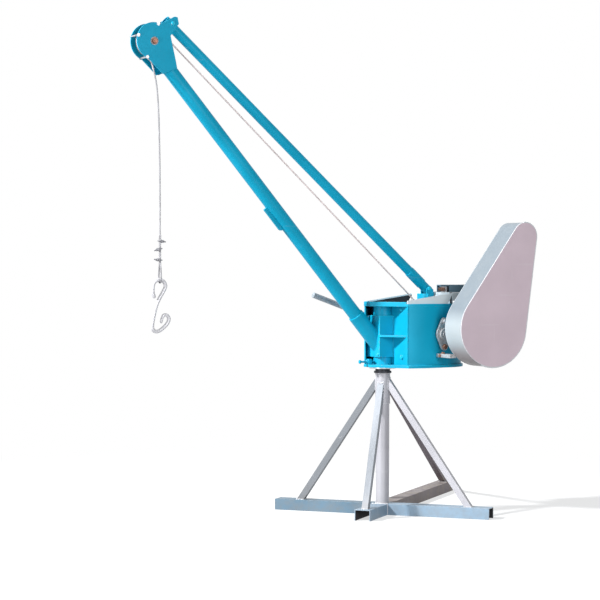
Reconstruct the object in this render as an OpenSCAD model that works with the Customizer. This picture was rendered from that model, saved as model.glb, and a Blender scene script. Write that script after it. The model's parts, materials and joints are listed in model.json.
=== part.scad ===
// Portable mini crane: a slewing boom crane on a welded channel cross, with a rope
// winch in the head. Origin on the slewing axis at ground level, +Z up, boom towards -X.

/* [Base] */
// Length of the left and right arms from the slewing axis
side_arm = 500; // [440:1:620]
// Length of the short front arm
front_arm_len = 275; // [265:1:400]
// Length of the long back arm
back_arm_len = 994; // [900:1:1000]
// Turn of the long back arm from +X
base_turn = 41.4; // [30:0.1:50]
// Width of the arm channels
channel_w = 72; // [60:1:90]
// Height of the arm channels
channel_h = 49; // [40:1:60]
// Wall of the arm channels
channel_t = 4; // [3:0.5:6]

/* [Column and braces] */
// Outer diameter of the column
column_od = 60; // [50:1:60]
// Wall of the column
column_t = 5; // [3:0.5:8]
// Height of the column's top
column_top = 905; // [860:1:915]
// Outer diameter of the sleeve round the column's upper half
sleeve_od = 66; // [64:1:72]
// Height at which the column sleeve starts
sleeve_z = 494; // [450:1:540]
// Height of the thrust collar that the head turns on
collar_z = 628; // [615:1:640]
// Side of the square brace tube
brace_w = 28; // [20:1:32]
// Wall of the brace tube
brace_t = 2.5; // [2:0.5:4]
// Height at which the braces' centre lines reach the slewing axis
brace_top = 625; // [590:1:626]
// Foot of the left brace from the slewing axis
left_foot = 386; // [330:1:440]
// Foot of the right brace
right_foot = 398; // [330:1:440]
// Foot of the front brace
front_foot = 230; // [200:1:250]
// Foot of the back brace
back_foot = 952; // [800:1:960]

/* [Hub] */
// Underside of the head's bottom plate
hub_z = 655; // [650:1:665]
// Height of the head from underside to the top plate's upper face
hub_h = 282; // [275:1:300]
// Thickness of the top and bottom plates
plate_t = 12; // [8:1:16]
// Height of the rim along the top plate's open edge
rim_h = 8; // [4:1:12]
// Distance of the bulkhead's front face from the slewing axis
bulkhead_x = 23; // [15:1:30]
// Half width of the head at the bulkhead
hub_half_w = 174; // [165:1:180]
// Reach of the plates towards the boom
nose_x = 81; // [78:1:90]
// Half width of the plates' front edge
nose_half_w = 29; // [20:1:40]
// Outer diameter of the tube that turns on the column
hub_tube_od = 84; // [80:1:88]
// Reach of the box round that tube, where the boom's socket ends
hub_box_x = 49; // [48:1:54]
// Half width of that box
hub_box_w = 54; // [52:1:60]
// Height of the middle shelf's underside
shelf_z = 790; // [770:1:810]
// Thickness of shelf, bulkheads and drum housing wall
sheet_t = 6; // [4:0.5:8]

/* [Winch] */
// Drum axis from the slewing axis
drum_x = 198; // [190:1:204]
// Height of the drum axis
drum_z = 804; // [796:1:808]
// Radius of the wound rope on the drum
drum_wound_r = 80; // [65:1:90]
// Radius of the drum's flanges
drum_flange_r = 108; // [100:1:112]
// Half length of the drum
drum_half_l = 110; // [90:1:125]
// Diameter of the drum shaft
shaft_d = 30; // [24:1:32]
// Radius of the housing's round end
housing_r = 174; // [170:1:180]
// Centre of the housing's round end from the slewing axis
housing_x = 205; // [195:1:215]

/* [Boom] */
// Outer diameter of the boom tube
boom_od = 60; // [54:1:60]
// Wall of the boom tube
boom_t = 4; // [3:0.5:6]
// Outer diameter of the socket that holds the boom
socket_od = 70; // [68:1:76]
// Lean of the boom from upright
boom_lean = 40.9; // [38:0.1:44]
// Socket mouth from the slewing axis
mouth_x = 140; // [134:1:146]
// Height of the socket mouth on the boom's centre line
mouth_z = 887; // [880:1:894]
// Sheave centre along the boom from the socket mouth
head_reach = 1513; // [1200:1:1700]
// Sheave centre above the boom's centre line
head_rise = 10; // [6:1:14]
// Outer diameter of the stay tube
stay_od = 42; // [34:1:44]
// Lower stay pin from the slewing axis
stay_x = 224; // [215:1:235]
// Height of the lower stay pin above the motor's deck
stay_rise = 15; // [13:1:20]

/* [Sheave and rope] */
// Pitch radius of the sheave
sheave_r = 62; // [58:1:64]
// Outer radius of the round cheek plates
cheek_r = 78; // [76:1:84]
// Thickness of the cheek plates
cheek_t = 6; // [5:0.5:8]
// Diameter of the wire rope
rope_d = 7; // [6:0.5:8]
// Diameter of the hook's round bar
hook_d = 16; // [12:0.5:16]

/* [Motor platform] */
// Slope of the wings' upper edges towards the motor
platform_slope = 0.14; // [0.12:0.005:0.16]
// Height of the near wing at the bulkhead above the top plate
platform_rise = 14; // [10:1:16]
// Front edge of the level deck from the slewing axis
deck_x = 252; // [252:1:256]
// Height of the deck above the top plate
deck_rise = 49; // [46:1:54]
// Far end of the deck from the slewing axis
platform_end = 588; // [586:1:620]

/* [Belt guard] */
// Radius of the guard's lower end
guard_r = 167; // [150:1:175]
// Radius of the guard's upper end
guard_top_r = 60; // [50:1:75]
// Lower centre from the slewing axis
guard_x = 308; // [300:1:315]
// Height of the lower centre
guard_z = 833; // [825:1:840]
// Upper centre from the slewing axis
guard_top_x = 470; // [440:1:500]
// Height of the upper centre
guard_top_z = 1234; // [1150:1:1300]
// Inner face of the guard from the boom's plane
guard_y = 294; // [285:1:310]
// Depth of the guard
guard_depth = 131; // [110:1:140]

/* [Hidden] */
$fn = 64;
fit = 0.3;            // seat clearance between pieces of one body
run = 0.08;           // radial running clearance of a shaft in its bore
weld = 0.1;           // straight edges start this deep in the round they leave
hub_top = hub_z + hub_h;
hub_in_z = hub_z + plate_t;
hub_in_top = hub_top - plate_t;
hub_box_z = hub_z + 45;
hub_box_h = 184;
rope_r = rope_d/2;
groove_r = rope_r + 0.4;
sheave_rim_r = sheave_r + 4;
sheave_half_w = 8;
wrap_r = drum_wound_r + rope_r + fit;
boom_dir = [-sin(boom_lean), cos(boom_lean)];
boom_side = [cos(boom_lean), sin(boom_lean)];
mouth = [-mouth_x, mouth_z];
head = mouth + head_reach*boom_dir + head_rise*boom_side;
boom_insert = 95;     // length of boom tube inside the socket
socket_reach = 240;   // length of the socket before its foot is cut to the box
boom_end = head_reach - 96;
cheek_y = boom_od/2 + fit;
cheek_out = cheek_y + cheek_t;
platform_z = hub_top + platform_rise;
deck_z = hub_top + deck_rise;
stay_z = deck_z + stay_rise;
stay_foot = [stay_x, stay_z];
stay_head = head + [84, 76];
stay_vec = stay_foot - stay_head;
stay_len = norm(stay_vec);
stay_tilt = atan2(stay_vec[0], stay_vec[1]);
stay_over = 27;       // tube past each pin
pin_d = 12;
rod_d = 8;
rod_ring = 74.5;      // circle of the cheeks' spacer rods
rod_angles = [76, 164, 245];
wall_bulge_r = 300;   // radius of the housing's bowed side walls
wall_bulge_x = (bulkhead_x + housing_x)/2;
wall_bulge_y = sqrt(pow(wall_bulge_r, 2) - pow(housing_x - wall_bulge_x, 2)) - hub_half_w;
ledge = 8;            // bottom plate past the housing wall
bearing_y = wall_bulge_r - wall_bulge_y + 1.5;
shaft_end_y = bearing_y + 26;
handle_y = 150;
handle_d = 25;
handle_tip = [-271, 973];
handle_slope = 19.3;
collar_top = collar_z + 19.7;
rope_gate_x = 96;     // opening of the top plate that the rope comes up through
rope_gate_l = 108;
rope_gate_w = 70;
platform_t = 4;
platform_lip = 44;    // depth of the deck's folded sides
lip_x = 280;          // where they start
wing_end = [26, 5];   // the wings' sloping ends, from the deck's wall to their foot and top
far_wing_drop = 6;    // the far wing's upper edge is that much lower
bracket_w = 48;       // half width of the plate in front of the stay's ears
bracket_h = 42;
rail_w = 30;
rail_h = 32;
rail_t = 3;
rail_start = 313;
rail_len = 272;
engine_s = 160;       // middle of the engine's feet along the rails
engine_pitch = 162;   // hole pitch of a small engine's feet, along the rails
engine_width = 76;    // hole pitch across the rails
engine_hole_r = 4.5;
screw_up = 13;        // tension screw's axis above the deck
screw_r = 6;
screw_nut_r = 10;
bracket_back = 21;    // front of the screw's plate before the rails

// The rope's way, in X and Z: off the drum, over the sheave and down to the hook
winch_vec = [drum_x, drum_z] - head;
rope_normal = atan2(winch_vec[1], winch_vec[0]) + 90 + asin((wrap_r - sheave_r)/norm(winch_vec));
rope_exit = [[-19, -66], [-5, -76], [4, -89], [12, -116]];
rope_fall_pts = [[12, -116], [20, -148], [27, -186], [32, -240], [36, -320], [39, -420],
                 [41, -540], [42, -660], [42, -795.6]];
hook_pin = head + [42, -994];
// Loop of the rope round the hook's eye, in Y and Z from the eye's top bar
rope_eye_pts = [[0, 198], [0.1, 192], [3, 178], [4, 164], [4, 78], [7, 54], [11.6, 24], [12, 2], [8.5, -8.5],
                [0, -12], [-8.5, -8.5], [-12, 2], [-11.6, 24], [-7, 54], [-4, 78], [-4, 164], [-6, 188]];
clip_heights = [163, 130, 84];
// Centre line of the hook's bar, in X and Z from the eye's top bar
hook_pts = [[-23, -76], [-31, -58], [-33, -36], [-29, -15], [-17, -3], [0, 0], [17, -7], [25, -27],
            [13, -52], [-5, -82], [-19, -115], [-31, -165], [-35, -195], [-28, -212], [-9, -215],
            [14, -202], [34, -182], [41, -163], [33, -149], [19, -147], [11, -158], [7, -171], [5, -182]];

// Points of a smooth curve through a list of points, n per stretch
function spline(p, n) = [
    for (i = [0 : len(p) - 2], k = [0 : n - 1])
        let (t = k/n, a = p[max(i - 1, 0)], b = p[i], c = p[i + 1], d = p[min(i + 2, len(p) - 1)])
        0.5*((2*b) + (c - a)*t + (2*a - 5*b + 4*c - d)*t*t + (3*b - a - 3*c + d)*t*t*t),
    p[len(p) - 1]];
function unit(v) = v/norm(v);
function heading(p, i) = unit(p[min(i + 1, len(p) - 1)] - p[max(i - 1, 0)]);
function polar(c, r, a) = c + r*[cos(a), sin(a)];

// Round bar or rope of radius r along points [x, z] in a plane at y
module bar_along(p, r, sides, y = 0) {
    rings = [for (i = [0 : len(p) - 1], k = [0 : sides - 1])
        let (h = heading(p, i), a = 360*k/sides)
        [p[i][0] - h[1]*r*cos(a), y + r*sin(a), p[i][1] + h[0]*r*cos(a)]];
    n = len(p);
    sides_faces = [for (i = [0 : n - 2], k = [0 : sides - 1])
        let (j = (k + 1) % sides)
        [i*sides + k, i*sides + j, (i + 1)*sides + j, (i + 1)*sides + k]];
    start_face = [[for (k = [0 : sides - 1]) sides - 1 - k]];
    end_face = [[for (k = [0 : sides - 1]) (n - 1)*sides + k]];
    polyhedron(rings, concat(start_face, sides_faces, end_face));
}

// Flat plate: an outline drawn in X and Z, from y towards +Y by t
module plate_xz(y, t) {
    translate([0, y + t, 0]) rotate([90, 0, 0]) linear_extrude(t) children();
}

// Round bar along Y between two values of y
module bar_y(x, z, r, y1, y2) {
    translate([x, y2, z]) rotate([90, 0, 0]) cylinder(r = r, h = y2 - y1);
}

// Places children on the boom's centre line, s along it from the socket mouth
module on_boom(s) {
    translate([mouth[0], 0, mouth[1]]) rotate([0, -boom_lean, 0]) translate([0, 0, s]) children();
}

// Places children on the stay's centre line, s along it from the upper pin
module on_stay(s) {
    translate([stay_head[0], 0, stay_head[1]]) rotate([0, stay_tilt, 0]) translate([0, 0, s]) children();
}

// ---- Stand ----

module channel(x1, x2) {
    difference() {
        translate([x1, -channel_w/2, 0]) cube([x2 - x1, channel_w, channel_h]);
        translate([x1 - 1, -channel_w/2 + channel_t, -1])
            cube([x2 - x1 + 2, channel_w - 2*channel_t, channel_h - channel_t + 1]);
    }
}

module cross_channel() color("lightsteelblue") rotate([0, 0, base_turn + 90]) channel(-side_arm, side_arm);

// The short front arm and the long back arm, welded to the cross channel's sides
module front_back_arms() color("lightsteelblue") {
    rotate([0, 0, base_turn + 180]) channel(channel_w/2 + fit, front_arm_len);
    rotate([0, 0, base_turn]) channel(channel_w/2 + fit, back_arm_len);
}

module column() color("lightsteelblue") difference() {
    translate([0, 0, channel_h]) cylinder(d = column_od, h = column_top - channel_h);
    translate([0, 0, channel_h - 1]) cylinder(d = column_od - 2*column_t, h = column_top - channel_h + 2);
}

module column_sleeve() color("lightsteelblue") translate([0, 0, sleeve_z]) difference() {
    cylinder(d = sleeve_od, h = collar_z - sleeve_z);
    translate([0, 0, -1]) cylinder(d = column_od + fit, h = collar_z - sleeve_z + 2);
}

module thrust_collar() color("dimgray") difference() {
    union() {
        translate([0, 0, collar_z]) cylinder(d = sleeve_od + 12, h = 9);
        translate([0, 0, collar_z]) cylinder(d = sleeve_od, h = collar_top - collar_z);
    }
    translate([0, 0, collar_z - 1]) cylinder(d = column_od + fit, h = collar_top - collar_z + 2);
}

// Square tube from an arm's top up to the column sleeve
module brace(foot, turn) {
    rise = brace_top - channel_h;
    long = norm([foot, rise]) + 2*brace_w;
    color("lightsteelblue") rotate([0, 0, turn]) difference() {
        translate([0, 0, brace_top]) rotate([0, atan2(rise, foot), 0]) difference() {
            translate([0, -brace_w/2, -brace_w/2]) cube([long, brace_w, brace_w]);
            translate([-1, -brace_w/2 + brace_t, -brace_w/2 + brace_t])
                cube([long + 2, brace_w - 2*brace_t, brace_w - 2*brace_t]);
        }
        translate([foot - 3*brace_w, -brace_w, channel_h - 4*brace_w])
            cube([8*brace_w, 2*brace_w, 4*brace_w]);
        translate([0, 0, sleeve_z/2]) cylinder(r = sleeve_od/2 + fit, h = collar_z);
    }
}

module side_braces() {
    brace(left_foot, base_turn + 90);
    brace(right_foot, base_turn - 90);
}
module brace_front() brace(front_foot, base_turn + 180);
module brace_back() brace(back_foot, base_turn);

// ---- Head: plates and tube that turn on the column ----

// Plan outline between the drum housing's bowed side walls, drawn in by d
module housing_walls_plan(d) intersection() {
    translate([wall_bulge_x, wall_bulge_y]) circle(wall_bulge_r - d, $fn = 96);
    translate([wall_bulge_x, -wall_bulge_y]) circle(wall_bulge_r - d, $fn = 96);
    translate([bulkhead_x, -2*hub_half_w]) square([housing_x - bulkhead_x + 8, 4*hub_half_w]);
}

// Plan outline of the housing's round end, drawn in by d
module housing_end_plan(d) translate([housing_x, 0]) circle(housing_r - d, $fn = 96);

// Block with the housing's plan, drawn in by d, from z upwards by h
module housing_block(d, z, h) {
    translate([0, 0, z]) linear_extrude(h) housing_walls_plan(d);
    translate([0, 0, z]) linear_extrude(h) housing_end_plan(d);
}

// Plan outline of the open nose, drawn in by d
module nose_plan(d) {
    w = nose_half_w - d/2;
    v = hub_half_w - 1.3*d;
    x2 = bulkhead_x + 2;
    polygon([[-nose_x + d, -w], [-nose_x + d, w], [bulkhead_x, v], [x2, v],
             [x2, -v], [bulkhead_x, -v]]);
}

module hub_tube() color("darkcyan") translate([0, 0, hub_z]) difference() {
    cylinder(d = hub_tube_od, h = hub_in_top - hub_z);
    translate([0, 0, -1]) cylinder(d = column_od + 2*run, h = hub_h);
}

// Box of three plates round the tube, closed by the bulkhead
module hub_box() color("darkcyan") translate([0, 0, hub_box_z]) difference() {
    translate([-hub_box_x, -hub_box_w, 0])
        cube([hub_box_x + bulkhead_x - fit, 2*hub_box_w, hub_box_h]);
    translate([-hub_box_x + sheet_t, -hub_box_w + sheet_t, -1])
        cube([hub_box_x + bulkhead_x, 2*hub_box_w - 2*sheet_t, hub_box_h + 2]);
}

module hub_flange() color("gainsboro") translate([0, 0, collar_top + fit]) difference() {
    cylinder(d = 120, h = hub_z - collar_top - fit);
    translate([0, 0, -1]) cylinder(d = column_od + 2*run, h = 20);
}

module bottom_plate() color("darkcyan") difference() {
    union() {
        translate([0, 0, hub_z]) linear_extrude(plate_t) nose_plan(0);
        housing_block(-ledge, hub_z, plate_t);
    }
    translate([0, 0, hub_z - 1]) cylinder(d = hub_tube_od + fit, h = plate_t + 2);
}

module top_plate() color("darkcyan") difference() {
    union() {
        translate([0, 0, hub_in_top]) linear_extrude(plate_t) nose_plan(0);
        housing_block(0, hub_in_top, plate_t);
        translate([0, 0, hub_in_top]) linear_extrude(plate_t + rim_h) intersection() {
            difference() {
                nose_plan(0);
                nose_plan(10);
            }
            translate([-nose_x, -hub_half_w]) square([nose_x + bulkhead_x - 5, 2*hub_half_w]);
        }
    }
    translate([rope_gate_x, -rope_gate_w, hub_in_top - 1]) cube([rope_gate_l, 2*rope_gate_w, plate_t + 2]);
}

module hub_shelves() color("darkcyan") translate([0, 0, shelf_z]) linear_extrude(8) intersection() {
    nose_plan(sheet_t + fit);
    union() for (s = [-1, 1])
        translate([-hub_box_x, s > 0 ? hub_box_w + fit : -hub_half_w])
            square([hub_box_x + bulkhead_x - fit, hub_half_w - hub_box_w - fit]);
}

// Plate that closes the nose on the side away from the belt guard
module hub_side() color("darkcyan") difference() {
    translate([0, 0, hub_in_z]) linear_extrude(hub_in_top - hub_in_z) intersection() {
        difference() {
            nose_plan(2*fit);
            nose_plan(sheet_t);
        }
        translate([-nose_x + sheet_t + 2, nose_half_w - 9])
            square([nose_x + bulkhead_x - fit - sheet_t - 2, hub_half_w]);
    }
    on_boom(-socket_reach) cylinder(d = socket_od + 2*fit, h = socket_reach);
}

module housing_bulkheads() color("darkcyan") difference() {
    translate([bulkhead_x, -hub_half_w, hub_in_z])
        cube([sheet_t, 2*hub_half_w, hub_in_top - hub_in_z]);
    translate([0, 0, hub_z]) cylinder(d = hub_tube_od + 2*fit, h = hub_h);
}

module housing_wall() color("darkcyan") difference() {
    housing_block(0, hub_in_z, hub_in_top - hub_in_z);
    housing_block(sheet_t, hub_in_z - 1, hub_in_top - hub_in_z + 2);
    translate([bulkhead_x - 1, -2*hub_half_w, hub_z])
        cube([sheet_t + 1 + fit/2, 4*hub_half_w, hub_h]);
    bar_y(drum_x, drum_z, 31, -2*hub_half_w, 2*hub_half_w);
}

module hub_slew_bolt() color("dimgray") {
    translate([-121, 0, hub_in_z + 12]) rotate([0, 90, 0]) {
        cylinder(d = 10, h = 121 - hub_tube_od/2 - fit);
        cylinder(d = 18, h = 8, $fn = 6);
    }
    translate([-nose_x + 4, -12, hub_in_z]) cube([16, 24, 24]);
}

// Tube that the head is pushed round by, cut to the slanting side plate
module slewing_handle() color("gray") difference() {
    translate([handle_tip[0], handle_y, handle_tip[1]]) rotate([0, 90 + handle_slope, 0])
        difference() {
            cylinder(d = handle_d, h = bulkhead_x - handle_tip[0] + 20);
            translate([0, 0, 3]) cylinder(d = handle_d - 6, h = bulkhead_x - handle_tip[0] + 20);
        }
    translate([0, 0, hub_z]) linear_extrude(2*hub_h) nose_plan(0);
    translate([bulkhead_x - fit, 0, hub_z]) cube([100, 2*handle_y, 2*hub_h]);
}

// ---- Winch ----

// Oval flanged bearing with its spigot through the housing wall; side is -1 or 1
module bearing(side) {
    spigot = 40;
    mirror([0, side > 0 ? 1 : 0, 0]) difference() {
        union() {
            plate_xz(-bearing_y - 12, 12) translate([drum_x, drum_z]) {
                circle(39);
                for (s = [-1, 1]) translate([0, 56*s]) circle(16);
                polygon([[-38, 12], [-15, 62], [15, 62], [38, 12],
                         [38, -12], [15, -62], [-15, -62], [-38, -12]]);
            }
            bar_y(drum_x, drum_z, 26, -bearing_y - 22, -bearing_y - 12);
            bar_y(drum_x, drum_z, 30, -bearing_y, -bearing_y + spigot);
        }
        bar_y(drum_x, drum_z, shaft_d/2 + run, -bearing_y - 30, -bearing_y + spigot + 10);
    }
}

module drum_bearings() color("silver") {
    bearing(-1);
    bearing(1);
}

module rope_drum() color("gray") {
    bar_y(drum_x, drum_z, drum_wound_r, -drum_half_l, drum_half_l);
    for (s = [-1, 1]) bar_y(drum_x, drum_z, drum_flange_r, s*drum_half_l - 4, s*drum_half_l + 4);
    bar_y(drum_x, drum_z, shaft_d/2, -shaft_end_y, shaft_end_y);
}

// ---- Boom and stay ----

module boom_socket() color("darkcyan") difference() {
    on_boom(-socket_reach) cylinder(d = socket_od, h = socket_reach);
    on_boom(-boom_insert - 2) cylinder(d = boom_od + fit, h = boom_insert + 10);
    on_boom(-socket_reach - 20) cylinder(d = boom_od - 6, h = socket_reach);
    translate([-hub_box_x - fit, -socket_od, hub_z]) cube([300, 2*socket_od, hub_h]);
}

module boom_tube() color("darkcyan") difference() {
    on_boom(-boom_insert) cylinder(d = boom_od, h = boom_insert + boom_end);
    on_boom(-boom_insert - 1) cylinder(d = boom_od - 2*boom_t, h = boom_insert + boom_end + 2);
}

module boom_clip() color("darkcyan") on_boom(518) translate([-boom_od/2 - 15, -5, 0]) difference() {
    union() {
        translate([0, 0, 15]) cube([17, 10, 110]);
        translate([15, 10, 15]) rotate([90, 0, 0]) cylinder(r = 15, h = 10);
    }
    translate([boom_od/2 + 15, 5, -5]) cylinder(d = boom_od + fit, h = 150);
}

module stay_tube() color("darkcyan") difference() {
    on_stay(-stay_over) cylinder(d = stay_od, h = stay_len + 2*stay_over);
    on_stay(-stay_over - 1) cylinder(d = stay_od - 7, h = stay_len + 2*stay_over + 2);
    for (p = [stay_head, stay_foot]) bar_y(p[0], p[1], pin_d/2 + fit, -stay_od, stay_od);
}

// Two ears that hold the stay's foot, behind a plate that stands on the top plate
module stay_ears() color("darkcyan") difference() {
    x1 = stay_x - 13;
    x2 = deck_x - 4;
    union() {
        for (y = [-stay_od/2 - fit - 6, stay_od/2 + fit]) plate_xz(y, 6) polygon([
            [x1, hub_top], [x2, hub_top], [x2, deck_z - 1], [stay_x + 14, stay_z + 5],
            [stay_x + 6, stay_z + 12], [stay_x - 5, stay_z + 12], [x1, stay_z + 3]]);
        translate([x1 - 5, -bracket_w, hub_top]) cube([6, 2*bracket_w, bracket_h]);
    }
    bar_y(stay_x, stay_z, pin_d/2 + fit, -stay_od, stay_od);
}

// Bolt across two ears or cheeks, with its head on the -Y side and a nut on the other
module cross_bolt(p, half) {
    bar_y(p[0], p[1], pin_d/2, -half - 8, half + 12);
    translate([p[0], -half - fit, p[1]]) rotate([90, 0, 0]) cylinder(r = 10, h = 8, $fn = 6);
    translate([p[0], half + 9 + fit, p[1]]) rotate([90, 0, 0]) cylinder(r = 10, h = 9, $fn = 6);
}

module stay_bolts() color("silver") {
    cross_bolt(stay_head, cheek_out);
    cross_bolt(stay_foot, stay_od/2 + fit + 6);
}

// ---- Boom head ----

// Places children at the sheave centre in the X and Z plane
module at_head() translate(head) children();

module cheek(y) {
    difference() {
        union() {
            plate_xz(y, cheek_t) at_head() circle(cheek_r, $fn = 96);
            plate_xz(y, cheek_t) at_head() polygon([
                polar([0, 0], cheek_r - weld, 68), [92, 106], [106, 104], [112, 76], [92, 52],
                [74, 24], [98, -78], [104, -108], [40, -136], polar([0, 0], cheek_r - weld, -110)]);
        }
        bar_y(head[0], head[1], 8 + fit, y - 1, y + cheek_t + 1);
        bar_y(stay_head[0], stay_head[1], pin_d/2 + fit, y - 1, y + cheek_t + 1);
        for (a = rod_angles) bar_y(head[0] + rod_ring*cos(a), head[1] + rod_ring*sin(a),
            rod_d/2 + fit/2, y - 1, y + cheek_t + 1);
    }
}

// The two round side plates that carry the sheave and the stay's upper end
module cheek_plates() color("darkcyan") {
    cheek(-cheek_out);
    cheek(cheek_y);
}

module cheek_rods() color("silver") for (a = rod_angles)
    bar_y(head[0] + rod_ring*cos(a), head[1] + rod_ring*sin(a), rod_d/2, -cheek_out - 5, cheek_out + 5);

module sheave_axle() color("sienna") {
    bar_y(head[0], head[1], 8, -cheek_out - 10, cheek_out + 12);
    translate([head[0], -cheek_out - fit, head[1]]) rotate([90, 0, 0]) cylinder(r = 12, h = 9, $fn = 6);
    translate([head[0], cheek_out + 10 + fit, head[1]]) rotate([90, 0, 0]) cylinder(r = 12, h = 10, $fn = 6);
    for (s = [-1, 1]) bar_y(head[0], head[1], 14,
        s > 0 ? sheave_half_w + 0.5 : -cheek_y + fit, s > 0 ? cheek_y - fit : -sheave_half_w - 0.5);
}

module sheave() color("gray") translate([head[0], 0, head[1]]) rotate([90, 0, 0]) difference() {
    rotate_extrude($fn = 96) difference() {
        translate([8 + run, -sheave_half_w]) square([sheave_rim_r - 8 - run, 2*sheave_half_w]);
        translate([sheave_r, 0]) circle(groove_r, $fn = 32);
        translate([sheave_r, -groove_r]) square([20, 2*groove_r]);
    }
}

// ---- Motor platform ----

// Height of the wings' upper edge at x, on the near side
function wing_top(x) = platform_z + platform_slope*(x - bulkhead_x);

// Side wing on the top plate, its upper edge lowered by drop
module wing(y, drop) {
    x1 = deck_x + wing_end[1];
    x2 = x1 - wing_end[0];
    plate_xz(y, platform_t) polygon([
        [bulkhead_x, hub_top + fit/10], [bulkhead_x, wing_top(bulkhead_x) - drop],
        [x1, wing_top(x1) - drop], [x2, hub_top + fit/10]]);
}

// Level deck on a cross wall, with folded sides, between two sloping wings
module motor_platform() color("gainsboro") union() {
    far_y = hub_half_w - platform_t;
    wing(-hub_half_w, 0);
    wing(far_y, far_wing_drop);
    translate([deck_x, -hub_half_w, hub_top + fit/10])
        cube([platform_t, 2*hub_half_w, deck_rise - fit/10 - 1]);
    translate([deck_x, -hub_half_w, deck_z - platform_t])
        cube([platform_end - deck_x, 2*hub_half_w, platform_t]);
    for (y = [-hub_half_w, far_y]) translate([lip_x, y, deck_z - platform_lip])
        cube([platform_end - lip_x, platform_t, platform_lip]);
}

// Two inverted channels that the motor's feet bolt to
module engine_rails() color("slategray") for (y = [-engine_width/2, engine_width/2])
    translate([rail_start, y, deck_z]) difference() {
        translate([0, -rail_w/2, fit/10]) cube([rail_len, rail_w, rail_h]);
        translate([-1, -rail_w/2 + rail_t, fit/10 - rail_t])
            cube([rail_len + 2, rail_w - 2*rail_t, rail_h]);
        for (s = [-1, 1]) translate([engine_s + s*engine_pitch/2, 0, 0])
            cylinder(r = engine_hole_r, h = rail_h + 5);
    }

// Places children on the axis of the screw that pushes the motor, from the rail's end
module on_screw() {
    translate([rail_start, -engine_width/2, deck_z + screw_up]) rotate([0, 90, 0]) children();
}

// Upright plate that the screw passes through
module tension_bracket() color("silver") difference() {
    translate([rail_start - bracket_back, -engine_width/2 - 20, deck_z + fit/10]) cube([6, 40, 24]);
    on_screw() translate([0, 0, -bracket_back - 2]) cylinder(r = screw_r + fit/2, h = 10);
}

module tension_screw() color("saddlebrown") on_screw() {
    translate([0, 0, -46]) cylinder(r = screw_r, h = 45);
    translate([0, 0, -bracket_back - fit - 18]) cylinder(r = screw_nut_r, h = 18, $fn = 6);
    translate([0, 0, -bracket_back + 6 + fit]) cylinder(r = screw_nut_r, h = 11, $fn = 6);
}

// ---- Belt guard ----

// Teardrop block round the two pulleys, drawn in by d, from y towards +Y by t
module guard_block(d, y, t) {
    low = [guard_x, guard_z];
    high = [guard_top_x, guard_top_z];
    way = high - low;
    turn = atan2(way[1], way[0]);
    flare = acos((guard_r - guard_top_r)/norm(way));
    r1 = guard_r - d;
    r2 = guard_top_r - d;
    bar_y(low[0], low[1], r1, y, y + t);
    bar_y(high[0], high[1], r2, y, y + t);
    plate_xz(y, t) polygon([
        polar(low, r1 - weld, turn + flare), polar(high, r2 - weld, turn + flare),
        polar(high, r2 - weld, turn - flare), polar(low, r1 - weld, turn - flare)]);
}

module guard_face() color("rosybrown") guard_block(0, -guard_y - guard_depth, 4);

module guard_rim() color("whitesmoke") difference() {
    guard_block(0, -guard_y - guard_depth + 4, guard_depth - 7);
    guard_block(3, -guard_y - guard_depth, guard_depth);
}

module guard_back() color("whitesmoke") difference() {
    guard_block(0, -guard_y - 3, 3);
    bar_y(guard_x, guard_z, 27, -guard_y - 4, -guard_y + 1);
}

// Housing of the pulley shaft, from the drum housing to the guard's back
module guard_spigot() color("darkcyan") difference() {
    bar_y(guard_x, guard_z, 40, -guard_y + fit, 0);
    bar_y(guard_x, guard_z, 26, -guard_y - 1, 1);
    housing_block(-fit, hub_in_z, hub_h);
}

module guard_arm() color("silver") difference() {
    p = polar([guard_x, guard_z], guard_r + 9, 224.3);
    translate([p[0] - 16, -guard_y + fit, p[1] - 8]) cube([32, guard_y, 16]);
    housing_block(-fit, hub_in_z, hub_h);
}

// ---- Rope and hook ----

module rope_run() color("gainsboro") {
    bar_along(concat(
        [polar([drum_x, drum_z], wrap_r, rope_normal)],
        [for (a = [rope_normal : (228 - rope_normal)/18 : 228.01]) polar(head, sheave_r, a)],
        [for (p = spline(rope_exit, 3)) head + p]), rope_r, 10);
}

module rope_fall() color("gainsboro")
    bar_along([for (p = spline(rope_fall_pts, 3)) head + p], rope_r, 10);

// Moves children that are drawn in Y and Z to the rope's loop at the hook
module at_rope_eye() translate([hook_pin[0], 0, hook_pin[1]]) rotate([0, 0, 90]) children();

module rope_eye() color("gainsboro") at_rope_eye() bar_along(spline(rope_eye_pts, 3), rope_r, 10);

// Wire rope clip: saddle, two studs and nuts, pointing to +X or -X
module rope_clip(z, way) {
    translate([hook_pin[0], 0, hook_pin[1] + z]) rotate([0, 0, way > 0 ? 0 : 180]) {
        difference() {
            translate([-7, -9.5, -7]) cube([14, 19, 14]);
            for (y = [-4, 4]) translate([0, y, -8]) cylinder(r = rope_r + 0.4, h = 16);
        }
        for (y = [-6, 6]) translate([7, y*1.05, 0]) rotate([0, 90, 0]) {
            cylinder(r = 2.5, h = 12);
            translate([0, 0, 3]) cylinder(r = 5, h = 5, $fn = 6);
        }
    }
}

module rope_clips() color("silver") {
    rope_clip(clip_heights[0], 1);
    rope_clip(clip_heights[1], -1);
    rope_clip(clip_heights[2], -1);
}

module hook() color("silver")
    bar_along([for (p = spline(hook_pts, 4)) hook_pin + p], hook_d/2, 12);

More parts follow.
